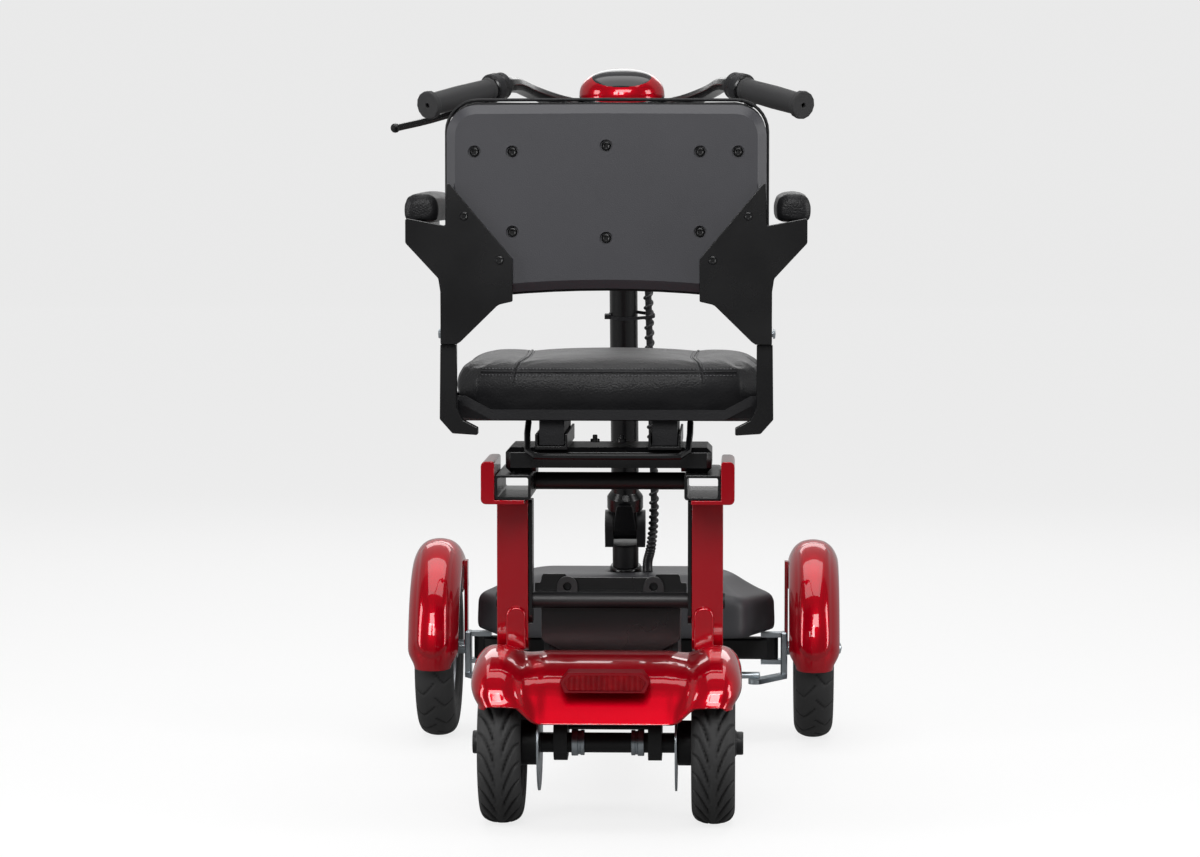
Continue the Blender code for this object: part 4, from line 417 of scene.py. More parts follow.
satin_black = finished("satin_black", SATIN_DARK, SATIN_LIGHT, 14, 0.36, 0.52, wear=0.25)
embossed(satin_black, GRAIN, 0.25, 0.0006, Scale=900)
zinc = finished("zinc_plate", ZINC_DARK, ZINC_LIGHT, 38, 0.22, 0.42, wear=0.4, Metallic=1.0)
softened("main_frame", 0.0016, satin_black)
axle_middle = at(0, 0, AXLE_HEIGHT)
axle_tube = spun("axle_tube", AXLE_TUBE, axle_middle, (1, 0, 0))
fixed(axle_tube, "chassis", satin_black)
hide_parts("rear_axle_beam")
for side, sign in SIDES:
    collar = spun("axle_collar_" + side, COLLAR, axle_middle, (sign, 0, 0))
    fixed(collar, "chassis", zinc)
    stub = spun("axle_stub_" + side, STUB, at(sign * AXLE_HALF, 0, AXLE_HEIGHT), (sign, 0, 0), steps=32)
    fixed(stub, "chassis", zinc)


# The rear wheels are moulded black hubs with solid black rubber tyres pressed on, a curved-leaf
# tread cut into the crown, and a thin plated brake disc bolted to the inner face of each hub.
REAR_RADIUS = 0.100
REAR_TYRE_X = 0.131
REAR_SECTION = (
    (0.0190, 0.0555), (0.0222, 0.0590), (0.0245, 0.0640), (0.0240, 0.0662), (0.0258, 0.0690),
    (0.0269, 0.0790), (0.0256, 0.0878), (0.0208, 0.0947), (0.0115, 0.0988), (0.0, 0.1000),
)
REAR_PITCHES = 24
REAR_SWEEP = 2.1
REAR_SIPE = 0.0021
LEAF_FROM = 0.1
LEAF_TO = 0.97
LEAF_CURVE = 1.9
LEAF_RUN = 0.025
TREAD_DEPTH = 0.0028
TREAD_BAND = (0.2, 0.8)
TREAD_ABOVE = 0.8
REAR_STEPS = (560, 96)
REAR_HUB = (
    (0.0105, 0.0868), (0.0270, 0.0868), (0.0280, 0.0878), (0.0280, 0.1060), (0.0300, 0.1090),
    (0.0500, 0.1105), (0.0544, 0.1125), (0.0550, 0.1160), (0.0530, 0.1190), (0.0480, 0.1210),
    (0.0470, 0.1310), (0.0480, 0.1410), (0.0530, 0.1430), (0.0550, 0.1455), (0.0544, 0.1490),
    (0.0500, 0.1508), (0.0400, 0.1498), (0.0240, 0.1530), (0.0170, 0.1580), (0.0145, 0.1600),
    (0.0145, 0.1664), (0.0137, 0.1680), (0.0060, 0.1680), (0.0052, 0.1670), (0.0, 0.1670),
)
RUBBER_DARK = (0.017, 0.017, 0.017, 1)
RUBBER_LIGHT = (0.038, 0.038, 0.039, 1)
# The tread cuts are painted toward this near black by their depth: painted shade in the grooves.
PAINTED_GROOVE_SHADE = (0.002, 0.002, 0.002, 1)


def through(points, place):
    """The smooth curve through the points, read at a place from 0 to 1 (Catmull-Rom)."""
    spans = len(points) - 1
    first = min(int(place * spans), spans - 1)
    t = place * spans - first
    a, b, c, d = (Vector(points[max(0, min(spans, first + step))]) for step in (-1, 0, 1, 2))
    bow = 2 * a - 5 * b + 4 * c - d
    twist = 3 * b - a - 3 * c + d
    return 0.5 * (2 * b + (c - a) * t + bow * t * t + twist * t ** 3)


def gridded(name, columns, rows, place):
    """A grid whose points go to place(u, v), both running from 0 to 1, with meeting edges joined."""
    bpy.ops.object.select_all(action="DESELECT")
    bpy.ops.mesh.primitive_grid_add(x_subdivisions=columns, y_subdivisions=rows, size=1)
    piece = bpy.context.object
    piece.name = name
    for vertex in piece.data.vertices:
        vertex.co = place(vertex.co.x + 0.5, vertex.co.y + 0.5)
    bpy.ops.object.mode_set(mode="EDIT")
    closed_up()
    return piece


def groove(distance, half_width):
    """How far down a rounded groove is at a distance from its middle, 1 at the middle."""
    return max(0.0, 1 - (distance / half_width) ** 2)


def leaf_tread(turn, across):
    """Tread cut of the rear tyre: leaf-shaped cuts that leave the middle and curve to the shoulder."""
    reach = abs(across)
    if reach < LEAF_FROM or reach > LEAF_TO:
        return 0.0
    pitch = 2 * math.pi * REAR_RADIUS / REAR_PITCHES
    bent = REAR_SWEEP * (1 - reach) ** LEAF_CURVE
    lean = pitch * REAR_SWEEP * LEAF_CURVE * (1 - reach) ** (LEAF_CURVE - 1) / LEAF_RUN
    phase = turn * REAR_PITCHES + bent + (0.5 if across > 0 else 0.0)
    gap = abs(phase - round(phase)) * pitch / math.sqrt(1 + lean * lean)
    fade = min(1.0, (reach - LEAF_FROM) * 8, (LEAF_TO - reach) * 20)
    return TREAD_DEPTH * fade * groove(gap, REAR_SIPE)


def tyre(name, section, centre, tread, around, across):
    """A tyre turned from its section (half width, radius), with the tread pressed into the crown."""
    ring = [Vector((-x, r)) for x, r in section] + [Vector((x, r)) for x, r in reversed(section[:-1])]
    half_width = max(x for x, r in section)

    def place(u, v):
        offset, radius = through(ring, v)
        if TREAD_BAND[0] < v < TREAD_BAND[1]:
            radius -= tread(u, offset / half_width)
        angle = 2 * math.pi * u
        return centre + Vector((offset, -radius * math.cos(angle), radius * math.sin(angle)))

    piece = smoothed(gridded(name, around, across, place), 60)
    # Each crown point keeps its cut depth, as a share of the full depth, in the tread attribute. The rubber
    # uses it to paint shade into the grooves.
    depth = piece.data.attributes.new("tread", "FLOAT", "POINT")
    crown = TREAD_ABOVE * max(r for x, r in section)
    for vertex in piece.data.vertices:
        offset, y, z = vertex.co - centre
        if math.hypot(y, z) > crown:
            turn = math.atan2(z, -y) / (2 * math.pi) % 1
            depth.data[vertex.index].value = tread(turn, offset / half_width) / TREAD_DEPTH
    return piece


def copied(piece, name, shift):
    """A second piece with its own mesh, moved by the shift."""
    twin = bpy.data.objects.new(name, piece.data.copy())
    bpy.context.collection.objects.link(twin)
    twin.data.transform(Matrix.Translation(shift))
    return twin


rubber = finished("tyre_rubber", RUBBER_DARK, RUBBER_LIGHT, 22, 0.55, 0.78, wear=0.2)
embossed(rubber, GRAIN, 0.3, 0.0008, Scale=700)
rubber_shader = rubber.node_tree.nodes["Principled BSDF"]
# Painted shade: the rubber's colour is mixed toward near black by the tread attribute, so the grooves are
# painted darker the deeper they are cut.
cut_depth = rubber.node_tree.nodes.new("ShaderNodeAttribute")
cut_depth.attribute_name = "tread"
painted_groove_shade = rubber.node_tree.nodes.new("ShaderNodeMix")
painted_groove_shade.data_type = "RGBA"
painted_groove_shade.inputs["B"].default_value = PAINTED_GROOVE_SHADE
crown_colour = rubber_shader.inputs["Base Color"].links[0].from_socket
rubber.node_tree.links.new(crown_colour, painted_groove_shade.inputs["A"])
wired(
    rubber.node_tree,
    (cut_depth, "Fac", painted_groove_shade, "Factor"), (painted_groove_shade, "Result", rubber_shader, "Base Color"),
)
rear_tyre = tyre(
    "rear_tyre_tread", REAR_SECTION, at(-REAR_TYRE_X, 0, REAR_RADIUS), leaf_tread, *REAR_STEPS
)
second_tyre = copied(rear_tyre, "rear_tyre_tread_r", (2 * REAR_TYRE_X, 0, 0))
for side, sign, piece in (("l", -1, rear_tyre), ("r", 1, second_tyre)):
    wheel = "rear_wheel_" + side
    fixed(piece, wheel, rubber)
    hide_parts("rear_tyre_" + side)
    hub = spun("rear_hub_turned_" + side, REAR_HUB, axle_middle, (sign, 0, 0))
    fixed(hub, wheel, satin_black)
    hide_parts("rear_hub_" + side)
    softened("brake_disc_" + side, 0.0004, zinc, segments=1)


# The battery is a black moulded box that drops into the frame, its lid and walls finely grained.
# It lifts out by the handle let into its lid.
BATTERY_DARK = (0.008, 0.008, 0.009, 1)
BATTERY_LIGHT = (0.015, 0.015, 0.017, 1)

moulded_black = finished(
    "moulded_black", BATTERY_DARK, BATTERY_LIGHT, 18, 0.42, 0.6, wear=0.2, Specular_IOR_Level=0.25
)
embossed(moulded_black, GRAIN, 0.35, 0.0008, Scale=520)
softened("battery_pack", 0.002, moulded_black, segments=3)

# The rear cover is one vacuum-formed shell in candy red under a deep clear coat. Two fender bulges
# sweep over the wheels, a shallow valley runs between each bulge and the middle panel, and the tail
# light sits proud of the sloping back.
COVER_HALF_WIDTH = 0.166
COVER_WALL = 0.003
COVER_BACK = (
    (-0.1150, 0.1385), (-0.1105, 0.1470), (-0.1060, 0.1555), (-0.1013, 0.1642), (-0.0964, 0.1730),
    (-0.0905, 0.1820), (-0.0822, 0.1908), (-0.0690, 0.1990), (-0.0480, 0.2060), (-0.0200, 0.2110),
    (0.0080, 0.2130), (0.0340, 0.2105), (0.0580, 0.2000), (0.0790, 0.1810), (0.0950, 0.1600),
    (0.1040, 0.1410),
)
COVER_AXIS = (0.0, 0.100)
COVER_TOP = 0.2130
EDGE_LOW = 0.1390
EDGE_OVER_WHEEL = 0.1585
SIDE_ROUND = 0.026
SIDE_DROP = 0.034
BULGE = 0.0090
BULGE_RISES = (0.099, 0.130)
BULGE_ENDS = (0.62, 0.84)
VALLEY = 0.0035
VALLEY_FALLS = (0.070, 0.098)
VALLEY_RISES = (0.098, 0.114)
EDGE_RISES = (0.080, 0.110)
COVER_STEPS = (190, 110)
BATTERY_HOLE = (0.178, 0.102, 0.2)
BATTERY_HOLE_AT = (0, 0.119, 0.19)
CORNER_TUCK = 0.062
CORNER_TALL = 0.028
CANDY_DARK = (0.29, 0.0004, 0.005, 1)
CANDY_LIGHT = (0.50, 0.0007, 0.011, 1)


def step(low, high, value):
    """A smooth rise from 0 at low to 1 at high."""
    t = max(0.0, min(1.0, (value - low) / (high - low)))
    return t * t * (3 - 2 * t)


def cover_point(u, v):
    """The cover's outer skin: u runs from the left side to the right, v from the back to the front."""
    x = COVER_HALF_WIDTH * math.sin(math.pi * (u - 0.5))
    reach = abs(x)
    y, z = through(COVER_BACK, v)
    floor = EDGE_LOW + (EDGE_OVER_WHEEL - EDGE_LOW) * step(*EDGE_RISES, reach)
    if y < 0:
        z = floor + (z - COVER_BACK[0][1]) * (COVER_TOP - floor) / (COVER_TOP - COVER_BACK[0][1])
    bulge = BULGE * step(*BULGE_RISES, reach)
    valley = -VALLEY * step(*VALLEY_FALLS, reach) * (1 - step(*VALLEY_RISES, reach))
    rounding = max(0.0, reach - COVER_HALF_WIDTH + SIDE_ROUND) / SIDE_ROUND
    drop = SIDE_DROP * (1 - math.sqrt(max(0.0, 1 - rounding ** 2)))
    shaped = (bulge + valley) * (0.4 + 0.6 * step(0.0, 0.2, v)) * (1 - step(*BULGE_ENDS, v)) - drop
    out = Vector((y - COVER_AXIS[0], z - COVER_AXIS[1]))
    out = out.normalized() * (out.length + shaped)
    foot = floor if y < 0 else COVER_BACK[0][1]
    z = max(COVER_AXIS[1] + out.y, foot)
    tuck = CORNER_TUCK * max(0.0, 1 - (z - foot) / CORNER_TALL) ** 2 * (reach / COVER_HALF_WIDTH) ** 4
    return at(x * (1 - tuck), COVER_AXIS[0] + out.x, z)


candy_red = finished(
    "candy_red", CANDY_DARK, CANDY_LIGHT, 4, 0.30, 0.38, Metallic=0.5, Coat_Weight=1.0,
    Specular_IOR_Level=0.0, Coat_Roughness=0.03, Coat_IOR=1.55,
)
embossed(candy_red, GRAIN, 0.05, 0.0004, Scale=260)
cover = gridded("rear_cover_shell", *COVER_STEPS, cover_point)
bpy.ops.mesh.primitive_cube_add(size=1, location=at(*BATTERY_HOLE_AT))
cutter = bpy.context.object
cutter.scale = BATTERY_HOLE
modified(cover, "BOOLEAN", operation="DIFFERENCE", object=cutter, solver="EXACT")
bpy.data.objects.remove(cutter)
modified(cover, "SOLIDIFY", thickness=COVER_WALL, offset=-1)
modified(cover, "BEVEL", width=0.0009, segments=2, limit_method="ANGLE", angle_limit=math.radians(50))
smoothed(cover, 30)
fixed(cover, "chassis", candy_red)
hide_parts("rear_cover")

# The tail light is a moulded red lens with upright reflector ribs, in a six-sided red housing whose foot
# stands clear of the slope.
LAMP_SHAPE = (
    (-0.0549, 0.0012), (-0.0455, 0.0118), (0.0455, 0.0118), (0.0549, 0.0012), (0.0490, -0.0118),
    (-0.0490, -0.0118),
)
LAMP_HEIGHT = 0.1895
LAMP_REAR = -0.1165
LAMP_LEAN = 0.42
LAMP_BODY = 0.040
LAMP_HALF_TALL = 0.0118
LAMP_CORNER = 0.0015
LENS_INSET = 0.0030
LENS_PROUD = 0.0016
LENS_DEPTH = 0.006
LENS_RIBS = 15
LENS_SPAN = 0.1
LENS_DARK = (0.055, 0.0, 0.001, 1)
LENS_LIGHT = (0.26, 0.0005, 0.004, 1)
HOUSING_DARK = (0.12, 0.0003, 0.003, 1)
HOUSING_LIGHT = (0.20, 0.0004, 0.005, 1)


def lens_rib_group():
    """Upright flutes across the lens, as a height."""
    tree, given, result = node_group(
        "lens_ribs", (("Count", "NodeSocketFloat"),), (("Height", "NodeSocketFloat"),)
    )
    place = tree.nodes.new("ShaderNodeTexCoord")
    across = tree.nodes.new("ShaderNodeSeparateXYZ")
    turns = tree.nodes.new("ShaderNodeMath")
    turns.operation = "MULTIPLY"
    wave = tree.nodes.new("ShaderNodeMath")
    wave.operation = "SINE"
    wired(
        tree,
        (place, "Object", across, "Vector"), (across, "X", turns, 0), (given, "Count", turns, 1),
        (turns, "Value", wave, 0), (wave, "Value", result, "Height"),
    )
    return tree


def rounded(corners, steps=5):
    """An outline from (a, b, radius) corners, each turned into an arc of points."""
    outline = []
    count = len(corners)
    for index, (a, b, radius) in enumerate(corners):
        corner = Vector((a, b))
        if not radius:
            outline.append(corner)
            continue
        back = (Vector(corners[index - 1][:2]) - corner).normalized()
        ahead = (Vector(corners[(index + 1) % count][:2]) - corner).normalized()
        half = back.angle(ahead) / 2
        reach = radius / math.tan(half)
        centre = corner + (back + ahead).normalized() * radius / math.sin(half)
        first, last = corner + back * reach - centre, corner + ahead * reach - centre
        turn = first.angle_signed(last)
        for share in range(steps + 1):
            outline.append(centre + Matrix.Rotation(-turn * share / steps, 2) @ first)
    return outline


def plate(name, outline, place, thickness):
    """A flat plate: the outline drawn where place puts it, filled, and extruded by the thickness vector."""
    piece = drawn(name, [place(a, b) for a, b in outline])
    bpy.ops.object.mode_set(mode="EDIT")
    bpy.ops.mesh.select_all(action="SELECT")
    bpy.ops.mesh.edge_face_add()
    bpy.ops.mesh.extrude_region_move(TRANSFORM_OT_translate={"value": thickness})
    bpy.ops.mesh.select_all(action="SELECT")
    bpy.ops.mesh.normals_make_consistent(inside=False)
    bpy.ops.object.mode_set(mode="OBJECT")
    return piece


def lamp_part(name, inset, rear, depth):
    """A six-sided block of the tail light, leaning forward at its top."""
    scale = 1 - inset / LAMP_HALF_TALL
    corners = [(x - inset * 1.6 * (1 if x > 0 else -1), z * scale, LAMP_CORNER) for x, z in LAMP_SHAPE]
    return plate(
        name, rounded(corners), lambda a, b: at(a, rear + b * LAMP_LEAN, LAMP_HEIGHT + b), (0, depth, 0)
    )


LENS_RIB = lens_rib_group()
housing = edged(lamp_part("tail_light_housing", 0.0, LAMP_REAR, LAMP_BODY), 0.0012, 3)
lamp_red = finished("lamp_red", HOUSING_DARK, HOUSING_LIGHT, 12, 0.34, 0.44, Specular_IOR_Level=0.04)
fixed(housing, "chassis", lamp_red)
lens_red = finished("lens_red", LENS_DARK, LENS_LIGHT, 60, 0.30, 0.42, Specular_IOR_Level=0.05)
embossed(lens_red, LENS_RIB, 0.5, 0.002, Count=2 * math.pi * LENS_RIBS / LENS_SPAN)
lens = edged(lamp_part("tail_light_glow", LENS_INSET, LAMP_REAR - LENS_PROUD, LENS_DEPTH), 0.0010, 3)
fixed(lens, "chassis", lens_red)
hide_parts("tail_light_lens")


# Under the deck a black front beam carries two zinc-plated steering knuckles on king pins, joined by
# a plated tie rod with ball ends.
KNUCKLE_RED_ABOVE = 0.168

softened("front_axle_beam", 0.0014, satin_black)
softened("tie_rod", 0.0005, zinc, segments=1)
for side in "lr":
    knuckle = softened("knuckle_" + side, 0.0008, zinc)
    knuckle.data.materials.append(candy_red)
    for face in knuckle.data.polygons:
        face.material_index = int(face.center.z > KNUCKLE_RED_ABOVE)

# The front wheels are pale grey cast rims with solid rubber tyres, cut with thin zigzag sipes.
# Each spins on the stub of its knuckle.
FRONT_RADIUS = 0.127
FRONT_TYRE_X = 0.268
WHEELBASE = 0.750
FRONT_SECTION = (
    (0.0195, 0.0740), (0.0228, 0.0775), (0.0250, 0.0840), (0.0244, 0.0862), (0.0264, 0.0900),
    (0.0275, 0.1020), (0.0264, 0.1120), (0.0215, 0.1204), (0.0120, 0.1254), (0.0, 0.1270),
)
FRONT_PITCHES = 20
FRONT_SIPE = 0.0014
SIPE_END = 0.96
SIPE_TURN = 0.55
SIPE_SHARE = 0.8
FRONT_STEPS = (560, 84)
RIM_DARK = (0.30, 0.31, 0.33, 1)
RIM_LIGHT = (0.46, 0.47, 0.50, 1)


def zigzag_tread(turn, across):
    """Tread cut of the front tyre: long thin slanting sipes, turned back once near the shoulder."""
    reach = abs(across)
    if reach > SIPE_END:
        return 0.0
    pitch = 2 * math.pi * FRONT_RADIUS / FRONT_PITCHES
    slant = 0.9 * min(reach, SIPE_TURN) - 0.5 * max(0.0, reach - SIPE_TURN)
    phase = turn * FRONT_PITCHES + slant + (0.5 if across > 0 else 0.0)
    gap = abs(phase - round(phase)) * pitch / 1.5
    fade = min(1.0, (SIPE_END - reach) * 20)
    return TREAD_DEPTH * SIPE_SHARE * fade * groove(gap, FRONT_SIPE)


rim_grey = finished("rim_grey", RIM_DARK, RIM_LIGHT, 16, 0.3, 0.42, wear=0.3, Metallic=0.6)
front_tyre = tyre(
    "front_tyre_tread", FRONT_SECTION, at(-FRONT_TYRE_X, WHEELBASE, FRONT_RADIUS), zigzag_tread, *FRONT_STEPS
)
second_front = copied(front_tyre, "front_tyre_tread_r", (2 * FRONT_TYRE_X, 0, 0))
for side, piece in (("l", front_tyre), ("r", second_front)):
    wheel = "front_wheel_" + side
    fixed(piece, wheel, rubber)
    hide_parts("front_tyre_" + side)
    softened("front_rim_" + side, 0.0012, rim_grey, angle=40)

# Each front fender is a moulded hood in the same candy red, tucked in at both ends, with a long raised
# panel on its back. It is bolted to the knuckle, so it turns with the wheel.
FENDER_SIDE = (
    (0.2320, 0.1190), (0.2320, 0.1230), (0.2328, 0.1290), (0.2362, 0.1375), (0.2420, 0.1460),
    (0.2505, 0.1523), (0.2600, 0.1550), (0.2675, 0.1556), (0.2750, 0.1550), (0.2845, 0.1523),
    (0.2930, 0.1460), (0.2988, 0.1375), (0.3022, 0.1290), (0.3030, 0.1230), (0.3030, 0.1175),
)
FENDER_MIDDLE = 0.2675
FENDER_HALF = 0.0355
FENDER_CROWN = 0.1556
FENDER_TUCK = 0.010
TUCK_DEGREES = 14
FENDER_AHEAD = 60
FENDER_BEHIND = 96
FENDER_WALL = 0.003
PANEL_HALF = 0.0235
PANEL_EDGE = 0.0035
PANEL_AT = -50
PANEL_REACH = 30
PANEL_RISE = 0.0028


def fender_point(sign):
    """Where the fender's grid goes: u across the hood, v from its front end round to its back end."""

    def place(u, v):
        x, radius = through(FENDER_SIDE, u)
        degrees = FENDER_AHEAD - v * (FENDER_AHEAD + FENDER_BEHIND)
        from_end = min(degrees + FENDER_BEHIND, FENDER_AHEAD - degrees)
        tuck = FENDER_TUCK * (1 - step(0, TUCK_DEGREES, from_end)) ** 2
        middle = x - FENDER_MIDDLE
        end = max(0.0, abs(degrees - PANEL_AT) - PANEL_REACH) * math.radians(1) * FENDER_CROWN
        panel = math.hypot(middle, end)
        rise = PANEL_RISE * (1 - step(PANEL_HALF - PANEL_EDGE, PANEL_HALF, panel))
        angle = math.radians(degrees)
        r = FENDER_CROWN - (FENDER_CROWN - radius) * (1 - 35 * tuck) + rise
        x = FENDER_MIDDLE + middle * (1 - tuck / FENDER_HALF)
        return at(sign * x, WHEELBASE + r * math.sin(angle), FRONT_RADIUS + r * math.cos(angle))

    return place


for side, sign in SIDES:
    fender = gridded("fender_hood_" + side, 64, 130, fender_point(sign))
    modified(fender, "SOLIDIFY", thickness=FENDER_WALL, offset=-1)
    modified(fender, "BEVEL", width=0.0009, segments=2, limit_method="ANGLE", angle_limit=math.radians(55))
    smoothed(fender, 40)
    fixed(fender, "knuckle_%s_body" % side, candy_red)
    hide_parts("front_fender_" + side)

# The front deck is a moulded dark grey cover over the beam, sloping off to both sides, with a fine satin
# texture.
DECK_DARK = (0.030, 0.030, 0.034, 1)
DECK_LIGHT = (0.048, 0.048, 0.053, 1)
DECK_FLAT = 0.105
DECK_HALF = 0.214
DECK_LOW = 0.165
DECK_TOP = 0.238
DECK_SHOULDER = 0.014


def remeshed(piece, voxel):
    """Rebuilds the piece as even small quads, ready to be pressed into shape."""
    select_only(piece)
    piece.data.remesh_voxel_size = voxel
    bpy.ops.object.voxel_remesh()
    return piece


deck_grey = finished("deck_grey", DECK_DARK, DECK_LIGHT, 9, 0.46, 0.58, wear=0.1)
embossed(deck_grey, GRAIN, 0.3, 0.0006, Scale=640)
deck = remeshed(bare_copy("front_deck"), 0.003)
for vertex in deck.data.vertices:
    shoulder = step(DECK_FLAT, DECK_HALF, abs(vertex.co.x)) * step(DECK_LOW, DECK_TOP, vertex.co.z)
    vertex.co.z -= DECK_SHOULDER * shoulder
modified(deck, "SMOOTH", factor=0.5, iterations=40)
fixed(smoothed(deck, 80), "chassis", deck_grey)
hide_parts("front_deck")


# The steering column: a black collar on the deck, the turning stem in satin black, the folding joint with
# its latch plate, and two telescoping tubes, the collar, latch and tubes in gloss black enamel.
GLOSS_DARK = (0.0022, 0.0022, 0.0026, 1)
GLOSS_LIGHT = (0.0050, 0.0050, 0.0056, 1)

gloss_black = finished("gloss_black", GLOSS_DARK, GLOSS_LIGHT, 9, 0.20, 0.34, wear=0.2)
embossed(gloss_black, GRAIN, 0.06, 0.0004, Scale=320)
softened("steering_stem", 0.001, satin_black)
for name in ("column_collar", "tiller_lower_tube", "tiller_upper_tube", "fold_latch_lever"):
    softened(name, 0.0012, gloss_black)

# The control loom is a bundle of wires in black spiral wrap: out of the deck beside the column, up the
# tiller's right side and into the head. One cable tie straps it to the tube. It is laid in three lengths.
LOOM_DARK = (0.010, 0.010, 0.011, 1)
LOOM_LIGHT = (0.024, 0.024, 0.026, 1)
TILLER_LEAN = math.radians(15)
TILLER_FOOT = at(0, 0.735, 0.230)
TILLER_UP = Vector((0, -math.sin(TILLER_LEAN), math.cos(TILLER_LEAN)))
TILLER_BACK = Vector((0, -math.cos(TILLER_LEAN), -math.sin(TILLER_LEAN)))
LOOM_EXIT = (at(0.032, 0.712, 0.2406), at(0.032, 0.712, 0.255), at(0.037, 0.706, 0.278))
LOOM_RUN = (
    (0.105, 0.041, 0.006), (0.2, 0.039, 0.006), (0.3, 0.037, 0.004), (0.4, 0.035, 0.003),
    (0.5, 0.032, 0.002), (0.6, 0.030, 0.003), (0.666, 0.027, 0.004),
)
LOOM_STEPS = 180
LOOM_LENGTHS = (
    ("foot", 0, 2, "chassis", "steering", 0), ("bend", 2, 3, "steering", "tiller", 2),
    ("run", 3, 9, "tiller", "bars", 6),
)
LOOM_CORE = 0.0046
WRAP_REACH = 0.0046
WRAP_CORD = 0.0026
WRAP_PITCH = 0.0105
WRAP_STEPS = 16
TIE_AT = 0.389
TIE_BAND = 0.0046
TIE_WALL = 0.0013
TIE_ROUND = ((0.0, 0.0, 0.0202), (0.0352, 0.003, 0.0080))
TIE_STEPS = 72
TIE_MERGE = 0.00005
TIE_HEAD = (-0.0215, 0.0070)
TIE_HEAD_TALL = 0.0066
TIE_HEAD_LOW = 0.0010
TIE_HEAD_SHAPE = (
    (-0.005, -0.0035, 0.001), (0.004, -0.0035, 0.001), (0.004, 0.0035, 0.001), (-0.005, 0.0035, 0.001),
)


def on_tiller(along, x, back):
    """A point beside the tiller: how far up its axis, how far right and how far behind it."""
    return TILLER_FOOT + TILLER_UP * along + TILLER_BACK * back + Vector((x, 0, 0))


def piped(name, points, radius, closed=True):
    """A round cord laid along the points and turned into a mesh."""
    curve = bpy.data.curves.new(name, "CURVE")
    curve.dimensions = "3D"
    curve.bevel_depth = radius
    curve.bevel_resolution = 3
    spline = curve.splines.new("POLY")
    spline.points.add(len(points) - 1)
    for spot, point in zip(spline.points, points):
        spot.co = (*point, 1)
    spline.use_cyclic_u = closed
    curve.use_fill_caps = not closed
    cord = bpy.data.objects.new(name, curve)
    bpy.context.collection.objects.link(cord)
    select_only(cord)
    bpy.ops.object.convert(target="MESH")
    return smoothed(bpy.context.object, 60)


loom_wrap = finished("loom_wrap", LOOM_DARK, LOOM_LIGHT, 40, 0.28, 0.40)
route = list(LOOM_EXIT) + [on_tiller(*spot) for spot in LOOM_RUN]
core = [through(route, n / LOOM_STEPS) for n in range(LOOM_STEPS + 1)]
turns = int(sum((b - a).length for a, b in zip(core, core[1:])) / WRAP_PITCH)
spiral = []
for count in range(turns * WRAP_STEPS + 1):
    share = min(0.9999, count / (turns * WRAP_STEPS))
    middle = through(route, share)
    along = (through(route, share + 0.0001) - middle).normalized()
    out = along.cross(TILLER_BACK).normalized()
    turn = 2 * math.pi * count / WRAP_STEPS
    spiral.append(middle + (out * math.cos(turn) + along.cross(out) * math.sin(turn)) * WRAP_REACH)
for length, first, last, below, above, bend in LOOM_LENGTHS:
    for kind, line, radius in (("core", core, LOOM_CORE), ("spiral", spiral, WRAP_CORD)):
        begin, end = (round(spot / (len(route) - 1) * (len(line) - 1)) for spot in (first, last))
        cord = piped("loom_%s_%s" % (kind, length), line[begin:end + 1], radius, closed=False)
        cord.data.materials.append(loom_wrap)
        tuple(route[bend])
        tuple(route[last])
        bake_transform(cord)
        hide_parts("control_loom")
strap_line = []
for count in range(TIE_STEPS + 1):
    turn = 2 * math.pi * count / TIE_STEPS
    farthest = max(
        (x * math.cos(turn) + back * math.sin(turn) + r, x + r * math.cos(turn), back + r * math.sin(turn))
        for x, back, r in TIE_ROUND
    )
    strap_line.append(on_tiller(TIE_AT, *farthest[1:]))
strap = drawn("cable_tie", strap_line)
bpy.ops.object.mode_set(mode="EDIT")
bpy.ops.mesh.select_all(action="SELECT")
bpy.ops.mesh.extrude_region_move(TRANSFORM_OT_translate={"value": TILLER_UP * TIE_BAND})
closed_up(TIE_MERGE)
modified(strap, "SOLIDIFY", thickness=TIE_WALL, offset=0)
fixed(edged(strap, 0.0003), "tiller", moulded_black)
tie_head = plate(
    "cable_tie_head", rounded(TIE_HEAD_SHAPE),
    lambda a, b: on_tiller(TIE_AT - TIE_HEAD_LOW, TIE_HEAD[0] + a, TIE_HEAD[1] + b),
    TILLER_UP * TIE_HEAD_TALL,
)
fixed(edged(tie_head, 0.0005), "tiller", moulded_black)

# The handlebar is one bent black tube with rubber grips; a brake lever on the left clamp, and a
# throttle that twists on the right.
GRIP_DARK = (0.010, 0.010, 0.011, 1)
GRIP_LIGHT = (0.020, 0.020, 0.021, 1)
GRIP_START = (0.169, 0.361, 0.9166)
GRIP_LINE = (0.075, -0.100, -0.023)
GRIP_COLLAR = (
    (0.0112, -0.0260), (0.0165, -0.0260), (0.0182, -0.0245), (0.0182, -0.0170), (0.0170, -0.0160),
    (0.0170, -0.0140), (0.0192, -0.0128), (0.0192, -0.0030), (0.0180, -0.0012), (0.0112, -0.0012),
)

grip_rubber = finished("grip_rubber", GRIP_DARK, GRIP_LIGHT, 30, 0.6, 0.78)
embossed(grip_rubber, GRAIN, 0.3, 0.0006, Scale=800)
for name in ("handlebar", "brake_clamp", "throttle_clamp", "brake_lever"):
    softened(name, 0.0008, gloss_black)
for name in ("grip_l", "grip_r"):
    softened(name, 0.0008, grip_rubber)
for side, sign in SIDES:
    line = (sign * GRIP_LINE[0], *GRIP_LINE[1:])
    start = at(sign * GRIP_START[0], *GRIP_START[1:])
    ring = spun("grip_collar_" + side, GRIP_COLLAR, start, line, steps=48)
    fixed(ring, "bars", moulded_black)

